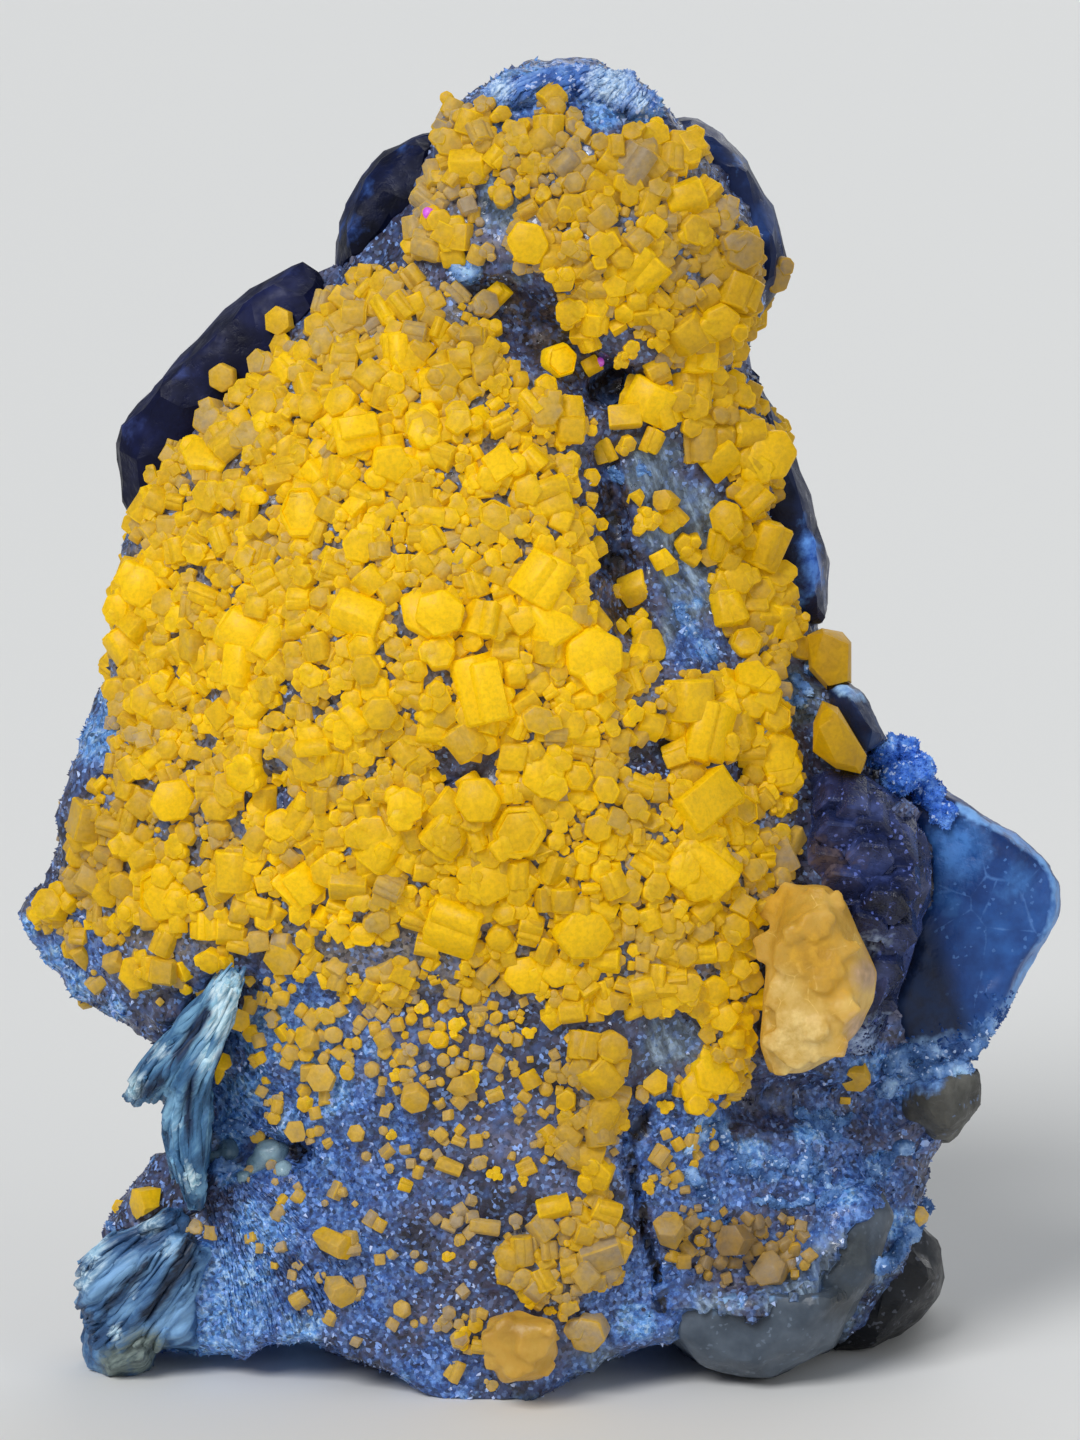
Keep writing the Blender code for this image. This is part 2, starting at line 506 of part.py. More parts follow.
# The raw rock: a ball drawn out between the rims, the show face and the back.
def rock_core(collection):
    bm = bmesh.new()
    bmesh.ops.create_icosphere(bm, subdivisions=MATRIX_FINENESS, radius=1)
    ball = np.array([v.co for v in bm.verts])
    top = at(552, 66, LEFT_RIM[0][2] * MM).z
    z = CORE_FLOOR + (ball[:, 2] + 1) / 2 * (top - CORE_FLOOR)
    ring = np.hypot(ball[:, 0], ball[:, 1]).clip(1e-6)
    turn_x, turn_y = ball[:, 0] / ring, ball[:, 1] / ring
    left_x, left_y = rim_lines(LEFT_RIM, z)
    right_x, right_y = rim_lines(RIGHT_RIM, z)
    wide = np.sign(turn_x) * np.abs(turn_x) ** SQUARENESS
    deep = np.abs(turn_y) ** SQUARENESS
    x = (left_x + right_x) / 2 + wide * (right_x - left_x) / 2
    rim_y = left_y + (wide + 1) / 2 * (right_y - left_y)
    shown = [at(u, v, depth * MM) for u, v, depth in RELIEF]
    front_y = smooth_field([(p.x, p.z, p.y) for p in shown], x, z)
    back_y = smooth_field([(a * MM, b * MM, c * MM) for a, b, c in BACK_RELIEF], x, z)
    y = rim_y + deep * np.where(turn_y < 0, front_y - rim_y, back_y - rim_y)
    for vert, place in zip(bm.verts, zip(x, y, z)):
        vert.co = place
    bm.normal_update()
    moves = []
    for vert in bm.verts:
        spot = (vert.co + ORIGIN) / ROUGH_SIZE
        rough = noise.fractal(spot, 0.9, 2.1, ROUGH_OCTAVES) * GRAIN_SHARE
        rough += abs(noise.noise(spot * RIDGE_PITCH)) * RIDGE_SHARE
        move = vert.normal * rough * ROUGH_HEIGHT
        if vert.normal.y < FACES_FRONT:
            move.y += furrow_depth(Vector(seen_at(vert.co)))
        moves.append(move)
    for vert, move in zip(bm.verts, moves):
        vert.co += move
    return object_from(bm, "quartz_matrix", collection)


def thin_to(obj, faces):
    thin = obj.modifiers.new("thin", "DECIMATE")
    thin.ratio = min(1.0, faces / sum(len(p.vertices) - 2 for p in obj.data.polygons))
    settle(obj)


# Where the line of sight meets the surface, and the surface's way out.
class Skin:
    def __init__(self, solids):
        self.trees = []
        for obj in solids:
            bm = bmesh.new()
            bm.from_mesh(obj.data)
            self.trees.append(BVHTree.FromBMesh(bm))
            bm.free()

    def under(self, across, down):
        start = at(across, down, NEAR)
        line = (at(across, down, FAR) - start).normalized()
        hits = [tree.ray_cast(start, line) for tree in self.trees]
        hits = [hit for hit in hits if hit[0]] or [self.trees[0].find_nearest(at(across, down, 0))]
        foot, out = min(hits, key=lambda hit: hit[0].y)[:2]
        return foot, out, line


# One six-sided crystal whose top is seen at its place, leaning as its kind does.
def crystal(skin, spot, lean, bed, rng, name, collection):
    across, down, half = spot
    radius = half * VIEW_UNIT
    foot, out, line = skin.under(across, down)
    outward = (out - line * TO_THE_EYE).normalized()
    lean_to = Vector((rng.uniform(-1, 1), rng.uniform(-0.4, 0.4), rng.uniform(-1, 1)))
    axis = (outward + lean_to * math.tan(lean)).normalized()
    height = bed + radius * rng.uniform(*STANDS_OUT)
    rooted = height + radius * ROOT + ROOT_LEAST
    top = foot - line * height
    bm = bmesh.new()
    bmesh.ops.create_cone(bm, cap_ends=True, segments=6, radius1=radius, radius2=radius, depth=rooted)
    if radius > BEVEL_FROM:
        rim = [e for e in bm.edges if all(v.co.z > 0 for v in e.verts)]
        bmesh.ops.bevel(bm, geom=rim, offset=radius * TOP_BEVEL, segments=1, affect="EDGES")
    spin = Matrix.Rotation(rng.uniform(0, math.tau), 4, "Z")
    turn = axis.to_track_quat("Z", "Y").to_matrix().to_4x4() @ spin
    place = Matrix.Translation(top - axis * rooted / 2) @ turn
    bmesh.ops.transform(bm, matrix=place, verts=bm.verts)
    return object_from(bm, name, collection)


# A crystal that lies along the surface, so that its sides show.
def lying_crystal(skin, spot, lean, bed, rng, name, collection):
    across, down, half = spot
    radius = half * VIEW_UNIT
    foot, _, line = skin.under(across, down)
    angle = lean + rng.uniform(-LYING_TURN, LYING_TURN)
    axis = Vector((math.cos(angle), 0, math.sin(angle)))
    bm = bmesh.new()
    bmesh.ops.create_cone(bm, cap_ends=True, segments=6, radius1=radius, radius2=radius,
                          depth=radius * LYING_LENGTH)
    turn = axis.to_track_quat("Z", "Y").to_matrix().to_4x4()
    place = Matrix.Translation(foot - line * (bed + radius * LYING_RISE)) @ turn
    bmesh.ops.transform(bm, matrix=place, verts=bm.verts)
    return object_from(bm, name, collection)


# One tapered strip of a fibrous blade.
def strip(start, end, half_start, half_end, depth_start, depth_end, name, collection):
    a = at(*start, depth_start * MM)
    b = at(*end, depth_end * MM)
    along = b - a
    bm = bmesh.new()
    bmesh.ops.create_cone(bm, cap_ends=True, segments=6, radius1=half_start * VIEW_UNIT,
                          radius2=half_end * VIEW_UNIT, depth=along.length)
    turn = along.to_track_quat("Z", "Y").to_matrix().to_4x4()
    place = Matrix.Translation((a + b) / 2) @ turn @ Matrix.Diagonal((1, BLADE_FLATNESS, 1, 1))
    bmesh.ops.transform(bm, matrix=place, verts=bm.verts)
    return object_from(bm, name, collection)


def joined(pieces, name):
    whole = pieces[0]
    whole.name = name
    for piece in pieces[1:]:
        combine(whole, piece, "UNION", woven=True)
        discard(piece)
    return whole


def painted(obj):
    colour, roughness = next(look for word, look in FINISHES.items() if obj.name.startswith(word))
    material = bpy.data.materials.new(obj.name + "_finish")
    material.use_nodes = True
    shader = material.node_tree.nodes["Principled BSDF"]
    shader.inputs["Base Color"].default_value = (*colour, 1)
    shader.inputs["Roughness"].default_value = roughness
    shader.inputs["Metallic"].default_value = 0.0
    obj.data.materials.clear()
    obj.data.materials.append(material)


def apart(first, second):
    low_a, high_a, low_b, high_b = (
        pick(np.array([v.co for v in obj.data.vertices]), axis=0)
        for obj in (first, second) for pick in (np.min, np.max))
    return bool((low_a > high_b).any() or (low_b > high_a).any())


# Takes the room of these sockets out of a piece, so that a gap stays round what fills them.
def make_room(piece, sockets):
    for socket in sockets:
        if not apart(piece, socket):
            combine(piece, socket, "DIFFERENCE", woven=True)
    keep_largest(piece)


def ball_knob(count, knob, collection):
    across, down, half, depth = knob
    bm = bmesh.new()
    bmesh.ops.create_icosphere(bm, subdivisions=1, radius=half * VIEW_UNIT)
    turn = Matrix.Rotation(count * KNOB_TURN, 4, Vector((1, 1, 1)))
    place = Matrix.Translation(at(across, down, depth * MM))
    bmesh.ops.transform(bm, matrix=place @ turn, verts=bm.verts)
    return object_from(bm, f"knob_{count}", collection)


def crack_tool(collection):
    left = [(u - CRACK_HALF_WIDTH, v) for u, v in CRACK]
    right = [(u + CRACK_HALF_WIDTH, v) for u, v in reversed(CRACK)]
    return view_prism(left + right, NEAR, CRACK_FLOOR, "crack", collection)


def cleared_scene():
    for obj in list(bpy.data.objects):
        bpy.data.objects.remove(obj)
    parts = bpy.data.collections.new("apatite_on_quartz")
    cutters = bpy.data.collections.new("cutters")
    cutters.hide_render = True
    for collection in (parts, cutters):
        bpy.context.scene.collection.children.link(collection)
    return parts, cutters


def floor_box(collection):
    bm = bmesh.new()
    bmesh.ops.create_cube(bm, size=FLOOR_BOX)
    bmesh.ops.translate(bm, vec=(0, 0, -FLOOR_BOX / 2), verts=bm.verts)
    return object_from(bm, "below_the_cut", collection)


def build():
    parts, cutters = cleared_scene()
    rng = random.Random(SEED)
    floor = floor_box(cutters)

    matrix = rock_core(parts)
    under = view_prism(UNDERSIDE + BELOW_THE_VIEW, NEAR, FAR, "under_the_matrix", cutters)
    thin_to(matrix, MATRIX_FACES)
    combine(matrix, under, "DIFFERENCE")
    combine(matrix, floor, "DIFFERENCE")
    keep_largest(matrix)
    tidy_faces(matrix, ROCK_FLATNESS)
    gap_matrix = swollen(matrix, GAP, "matrix_and_gap", cutters)
    thick_matrix = swollen(matrix, CRUST, "matrix_and_crust", cutters)

    sockets, solids = {}, []

    # Joins a piece's bits, keeps their sockets, and cuts it clear of the pieces named before it.
    def seat(bits, name, order=()):
        rooms = [swollen(bit, GAP, "socket", cutters) for bit in bits]
        piece = joined(bits, name)
        if min(v.co.z for v in piece.data.vertices) < 0:
            combine(piece, floor, "DIFFERENCE")
        make_room(piece, [room for other in order for room in sockets[other]])
        sockets[name] = rooms
        solids.append(piece)
        return piece

    for name in QUARTZ_ORDER:
        seat(chips(QUARTZ[name], name, parts), name, list(sockets))
    seat([ball_knob(i, knob, parts) for i, knob in enumerate(KNOBS)], "knobbly_quartz_crust",
         list(sockets))
    for name, strips in BLADES.items():
        bits = chips(BLADE_CORES[name], name, parts)
        bits += [strip(*s, f"strip_{i}", parts) for i, s in enumerate(strips)]
        seat(bits, name, list(sockets))
    for room in [room for rooms in sockets.values() for room in rooms]:
        if not apart(matrix, room):
            combine(matrix, room, "DIFFERENCE")
    crack = crack_tool(cutters)
    combine(matrix, crack, "DIFFERENCE")
    discard(crack, under)
    keep_largest(matrix)
    tidy_faces(matrix, CUT_FLATNESS)
    skin = Skin([matrix] + solids)

    def seat_apatite(bits, name):
        piece = seat(bits, name, list(sockets))
        combine(piece, gap_matrix, "DIFFERENCE", woven=True)
        keep_largest(piece)

    for name, bits in MASSES.items():
        seat_apatite(chips(bits, name, parts), name)
    lone = [(crystal, p, FACING_LEAN) for p in LONE_FACING]
    lone += [(crystal, p, LEANING_LEAN) for p in LONE_LEANING]
    lone += [(lying_crystal, p, 0) for p in LONE_LYING]
    for count, (grow, place, lean) in enumerate(lone):
        name = f"apatite_crystal_{count + 1:02d}"
        seat_apatite([grow(skin, place, lean, 0.0, rng, name, parts)], name)

    for name, regions in CRUST_REGIONS.items():
        crust = joined([view_prism(r, NEAR, CRUST_BACK, f"region_{i}", parts)
                        for i, r in enumerate(regions)], name)
        for window in CRUST_WINDOWS:
            hole = view_prism(window, NEAR, -CRUST_BACK, "window", cutters)
            combine(crust, hole, "DIFFERENCE", woven=True)
            discard(hole)
        combine(crust, thick_matrix, "INTERSECT", woven=True)
        kinds = [(crystal, p, FACING_LEAN) for p in FACING[name]]
        kinds += [(crystal, p, LEANING_LEAN) for p in LEANING[name]]
        kinds += [(lying_crystal, p, 0) for p in LYING[name]]
        for grow, place, lean in kinds:
            grown = grow(skin, place, lean, CRUST, rng, "crystal", cutters)
            combine(crust, grown, "UNION", woven=True)
            discard(grown)
        combine(crust, gap_matrix, "DIFFERENCE", woven=True)
        make_room(crust, [room for rooms in sockets.values() for room in rooms])
        tidy_faces(crust, CUT_FLATNESS)
        sockets[name] = [swollen(crust, GAP, "socket", cutters)]

    discard(gap_matrix, thick_matrix, floor, *[room for rooms in sockets.values() for room in rooms])
    for obj in parts.objects:
        painted(obj)


build()
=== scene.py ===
# Apatite crystals on quartz: the looks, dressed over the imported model.
import math
import random

import bmesh
import bpy
import numpy as np
from mathutils import Euler, Matrix, Vector, noise
from mathutils.bvhtree import BVHTree


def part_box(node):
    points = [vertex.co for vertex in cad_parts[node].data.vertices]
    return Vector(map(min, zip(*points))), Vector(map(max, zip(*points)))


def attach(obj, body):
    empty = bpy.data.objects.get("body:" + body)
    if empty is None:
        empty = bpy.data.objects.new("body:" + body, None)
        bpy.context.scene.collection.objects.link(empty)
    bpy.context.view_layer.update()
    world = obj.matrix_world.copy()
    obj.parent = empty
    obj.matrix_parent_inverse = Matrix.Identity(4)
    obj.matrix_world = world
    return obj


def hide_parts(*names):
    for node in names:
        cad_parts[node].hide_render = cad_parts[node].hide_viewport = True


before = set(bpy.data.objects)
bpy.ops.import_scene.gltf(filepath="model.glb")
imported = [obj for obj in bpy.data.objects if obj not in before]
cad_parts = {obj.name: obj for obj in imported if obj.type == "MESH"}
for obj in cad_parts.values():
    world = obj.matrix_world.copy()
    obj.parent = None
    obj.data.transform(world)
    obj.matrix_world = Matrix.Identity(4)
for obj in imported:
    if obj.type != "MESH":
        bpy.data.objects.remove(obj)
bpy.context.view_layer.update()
mm = 0.001

# The front view that places are read from: units across and down from its top left corner
view = {"unit": 0.09 * mm, "middle": (540, 720), "distance": 0.5, "angle": math.radians(8),
        "aim": (0.05 * mm, 1.18 * mm, 58.8 * mm)}
viewBack = np.array([0, math.cos(view["angle"]), -math.sin(view["angle"])])
viewUp = np.array([0, math.sin(view["angle"]), math.cos(view["angle"])])
viewAcross = np.array([1.0, 0, 0])
viewEye = np.array(view["aim"]) - viewBack * view["distance"]


def seenAt(points):  # where points of space show on the view
    ray = points - viewEye
    share = view["distance"] / (ray @ viewBack) / view["unit"]
    return view["middle"][0] + ray[:, 0] * share, view["middle"][1] - (ray @ viewUp) * share


def spotOn(tree, across, down):  # where a line of sight meets a surface, its way out, and the line
    seen = np.array(view["aim"]) + viewUp * ((view["middle"][1] - down) * view["unit"])
    seen = seen + viewAcross * ((across - view["middle"][0]) * view["unit"])
    line = Vector(seen - viewEye).normalized()
    foot, out, _, _ = tree.ray_cast(Vector(viewEye), line)
    return foot, out, line


def tint(red, green, blue):  # a screen colour as the shader wants it
    return tuple(((c / 255 + 0.055) / 1.055) ** 2.4 if c > 10 else c / 255 / 12.92
                 for c in (red, green, blue)) + (1,)


def grey(value):
    return (value, value, value, 1)


# Objects, selection and modifiers, as by hand

def newPiece(name, data):
    piece = bpy.data.objects.new(name, data)
    bpy.context.scene.collection.objects.link(piece)
    return piece


def pickOnly(*pieces):
    bpy.ops.object.select_all(action="DESELECT")
    for piece in pieces:
        piece.select_set(True)
    bpy.context.view_layer.objects.active = pieces[0]


def joined(pieces, name):
    pickOnly(*pieces)
    if len(pieces) > 1:
        bpy.ops.object.join()
    pieces[0].name = name
    return pieces[0]


def applied(piece, kind, **settings):
    pickOnly(piece)
    modifier = piece.modifiers.new(kind.title(), kind)
    for key, value in settings.items():
        setattr(modifier, key, value)
    bpy.ops.object.modifier_apply(modifier=modifier.name)


def remesh(piece, size):
    applied(piece, "REMESH", mode="VOXEL", voxel_size=size, use_smooth_shade=True)


def roughen(piece, kind, size, height, **looks):  # pushes the surface by a texture
    texture = bpy.data.textures.new(piece.name + kind, kind)
    texture.noise_scale = size
    for key, value in looks.items():
        setattr(texture, key, value)
    applied(piece, "DISPLACE", texture=texture, texture_coords="LOCAL", strength=height, mid_level=0.5)


def editStart(piece):
    pickOnly(piece)
    bpy.ops.object.mode_set(mode="EDIT")
    bpy.ops.mesh.select_all(action="SELECT")


def editEnd():
    bpy.ops.object.mode_set(mode="OBJECT")


def selectParts(piece, kind, wanted):  # faces or edges, in edit mode
    bpy.ops.mesh.select_mode(type=kind)
    bpy.ops.mesh.select_all(action="DESELECT")
    bpy.ops.object.mode_set(mode="OBJECT")
    for part in piece.data.polygons if kind == "FACE" else piece.data.edges:
        part.select = bool(wanted(part))
    bpy.ops.object.mode_set(mode="EDIT")


def workingCopy(nodeName, pieceName):  # a node's own shape, closed, to be worked on
    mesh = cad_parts[nodeName].data.copy()
    mesh.materials.clear()
    piece = newPiece(pieceName, mesh)
    editStart(piece)
    bpy.ops.mesh.remove_doubles(threshold=0.002 * mm)
    bpy.ops.mesh.normals_make_consistent(inside=False)
    bpy.ops.mesh.customdata_custom_splitnormals_clear()
    editEnd()
    return piece


def addBall(radius, place, rounds=2):
    bpy.ops.object.select_all(action="DESELECT")
    bpy.ops.mesh.primitive_ico_sphere_add(subdivisions=rounds, radius=radius, location=place)
    return bpy.context.object


# Points of a mesh

def pointsOf(piece):
    places = np.empty(len(piece.data.vertices) * 3)
    piece.data.vertices.foreach_get("co", places)
    return places.reshape(-1, 3)


def normalsOf(piece):
    ways = np.empty(len(piece.data.vertices) * 3)
    piece.data.vertex_normals.foreach_get("vector", ways)
    return ways.reshape(-1, 3)


def movePoints(piece, places):
    piece.data.vertices.foreach_set("co", places.ravel())
    piece.data.update()


def pushOut(piece, distance):  # along the normals, by one distance or by one for each point
    movePoints(piece, pointsOf(piece) + normalsOf(piece) * np.reshape(distance, (-1, 1)))


def liftToGround(piece):  # nothing reaches below the plane that the rock rests on
    places = pointsOf(piece)
    places[:, 2] = np.maximum(places[:, 2], 0)
    movePoints(piece, places)
    return places


def treeOf(*pieces):  # a tree of faces, to cast lines on
    bm = bmesh.new()
    for piece in pieces:
        bm.from_mesh(piece.data)
    tree = BVHTree.FromBMesh(bm)
    bm.free()
    return tree


def clearOf(tree, places, gap):  # true where a point stands free of the stones
    free = []
    for point in places:
        spot, out, _, _ = tree.find_nearest(Vector(point), 3 * mm)
        free.append(spot is None or (Vector(point) - spot).dot(out) > gap)
    return np.array(free)


def surfacePoints(piece, count, seed):  # random points of a surface, with its way out
    piece.data.calc_loop_triangles()
    corners = np.empty(len(piece.data.loop_triangles) * 3, dtype=np.int32)
    piece.data.loop_triangles.foreach_get("vertices", corners)
    triangles = pointsOf(piece)[corners.reshape(-1, 3)]
    first, second = triangles[:, 1] - triangles[:, 0], triangles[:, 2] - triangles[:, 0]
    sides = np.cross(first, second)
    areas = np.linalg.norm(sides, axis=1)
    chance = np.random.default_rng(seed)
    chosen = chance.choice(len(areas), count, p=areas / areas.sum())
    along, aside = chance.random(count), chance.random(count)
    flip = along + aside > 1
    along[flip], aside[flip] = 1 - along[flip], 1 - aside[flip]
    places = triangles[chosen][:, 0] + first[chosen] * along[:, None] + second[chosen] * aside[:, None]
    return places, sides[chosen] / areas[chosen][:, None]


def addAttribute(piece, name, values, domain="POINT"):
    attribute = piece.data.attributes.new(name, "FLOAT", domain)
    attribute.data.foreach_set("value", np.asarray(values, dtype=np.float32))


def finishPiece(piece, material, slot, *nodes, smooth):
    piece.data.materials.clear()
    piece.data.materials.append(material)
    pickOnly(piece)
    if smooth:
        bpy.ops.object.shade_smooth_by_angle(angle=math.radians(smooth))
    else:
        bpy.ops.object.shade_flat()
    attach(piece, "root")
    if nodes:
        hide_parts(*nodes)
    print("finished", piece.name, sum(len(face.vertices) - 2 for face in piece.data.polygons), "triangles")


# Material nodes

def newMaterial(name):
    material = bpy.data.materials.new(name)
    material.use_nodes = True
    return material, material.node_tree.nodes["Principled BSDF"]


def plug(material, socket, value):
    if isinstance(value, bpy.types.NodeSocket):
        material.node_tree.links.new(value, socket)
    else:
        socket.default_value = value


def setSockets(material, made, **sockets):
    for key, value in sockets.items():
        plug(material, made.inputs[key.replace("_", " ")], value)


def addNode(material, kind, settings=None, **sockets):
    made = material.node_tree.nodes.new(kind)
    for key, value in (settings or {}).items():
        setattr(made, key, value)
    setSockets(material, made, **sockets)
    return made


def mixed(material, factor, first, second, blend="MIX"):
    mix = addNode(material, "ShaderNodeMix", {"data_type": "RGBA", "blend_type": blend})
    for index, value in ((0, factor), (6, first), (7, second)):
        plug(material, mix.inputs[index], value)
    return mix.outputs[2]


def sums(material, operation, first, second=0.0, third=0.0, clamp=True):
    maths = addNode(material, "ShaderNodeMath", {"operation": operation, "use_clamp": clamp})
    for index, value in enumerate((first, second, third)):
        plug(material, maths.inputs[index], value)
    return maths.outputs[0]


def product(material, first, second):
    return sums(material, "MULTIPLY", first, second)


def ramp(material, factor, *stops):
    made = addNode(material, "ShaderNodeValToRGB", Fac=factor)
    band = made.color_ramp
    while len(band.elements) < len(stops):
        band.elements.new(0.5)
    for element, (place, colour) in zip(band.elements, stops):
        element.position = place
        element.color = grey(colour) if isinstance(colour, (int, float)) else colour
    return made.outputs["Color"]


def threeTones(material, factor, colours, spread=0.14):
    low, middle, high = colours
    return ramp(material, factor, (0.5 - spread, tint(*low)), (0.5, tint(*middle)),
                (0.5 + spread, tint(*high)))


def placeNodes(material):
    return addNode(material, "ShaderNodeTexCoord").outputs["Object"]


def drawnOut(material, degrees, stretch):  # places that draw noise out along one way
    return addNode(material, "ShaderNodeMapping", {"vector_type": "TEXTURE"}, Vector=placeNodes(material),
                   Rotation=(0, math.radians(degrees), 0), Scale=(1, 1, stretch)).outputs["Vector"]


def noiseNode(material, scale, detail=3.0, rough=0.55, place=None):
    return addNode(material, "ShaderNodeTexNoise", Vector=place or placeNodes(material),
                   Scale=scale, Detail=detail, Roughness=rough).outputs["Fac"]


def cellNode(material, scale, feature="F1", output="Color"):
    return addNode(material, "ShaderNodeTexVoronoi", {"feature": feature},
                   Vector=placeNodes(material), Scale=scale).outputs[output]


def cellChances(material, scale):  # three random values for each cell
    return addNode(material, "ShaderNodeSeparateColor", Color=cellNode(material, scale)).outputs


def attributeNode(material, name):
    return addNode(material, "ShaderNodeAttribute", {"attribute_name": name}).outputs["Fac"]


def bumpNode(material, first, second, depth, strength):
    return addNode(material, "ShaderNodeBump", Height=sums(material, "ADD", first, second),
                   Distance=depth, Strength=strength).outputs["Normal"]


# Camera, floor and lights

stageLook = {"lensFrame": 24, "floorSize": 90, "floorColour": (0.78, 0.78, 0.77, 1),
             "world": (0.9, 0.95, 1.0, 1), "worldStrength": 0.3,
             "lights": (("key", (-0.55, -1.0, 0.95), 2.2, 26), ("fill", (0.9, -0.8, 0.25), 0.6, 50),
                        ("rear", (0.35, 1.0, 0.7), 0.7, 50))}


def setStage():
    camera = newPiece("camera", bpy.data.cameras.new("camera"))
    camera.location = viewEye
    camera.rotation_euler = (math.pi / 2 - view["angle"], 0, 0)
    camera.data.sensor_fit = "VERTICAL"
    camera.data.sensor_height = stageLook["lensFrame"]
    frameHeight = 2 * view["middle"][1] * view["unit"]
    camera.data.lens = stageLook["lensFrame"] * view["distance"] / frameHeight
    camera.data.clip_start = 10 * mm
    bpy.context.scene.camera = camera

    bpy.ops.mesh.primitive_plane_add(size=stageLook["floorSize"], location=(0, 0, -0.02 * mm))
    floor = bpy.context.object
    floor.name = "floor"
    material, shader = newMaterial("paleFloor")
    setSockets(material, shader, Base_Color=stageLook["floorColour"], Roughness=0.8)
    floor.data.materials.append(material)

    world = bpy.data.worlds.new("studio")
    world.use_nodes = True
    background = world.node_tree.nodes["Background"]
    background.inputs["Color"].default_value = stageLook["world"]
    background.inputs["Strength"].default_value = stageLook["worldStrength"]
    bpy.context.scene.world = world
    for name, place, power, softness in stageLook["lights"]:
        lamp = newPiece(name, bpy.data.lights.new(name, "SUN"))
        lamp.data.angle = math.radians(softness)
        lamp.data.energy = power
        lamp.location = place
        lamp.rotation_euler = (-Vector(place)).to_track_quat("-Z", "Y").to_euler()
    bpy.context.scene.view_settings.view_transform = "Standard"  # keeps the yellow as strong as it is
    print("stage set")


# Zones of the show face, as spots: across, down, reach and strength on the view

def alongLine(gap, reach, strength, *line):  # spots in a row along a line
    spots = []
    for (ax, ay), (bx, by) in zip(line, line[1:]):
        steps = max(1, int(math.hypot(bx - ax, by - ay) / gap))
        spots += [(ax + (bx - ax) * i / steps, ay + (by - ay) * i / steps, reach, strength)
                  for i in range(steps)]
    return spots


def zoneWeight(spots, across, down, shown=1.0):
    weight = np.zeros(len(across))
    for u, v, reach, strength in spots:
        off = np.hypot(across - u, down - v) / (reach * 1.35)
        weight = np.maximum(weight, strength * np.clip(1 - off, 0, 1) ** 0.7)
    return weight * shown


def weightAt(spots, places):
    return zoneWeight(spots, *seenAt(places))


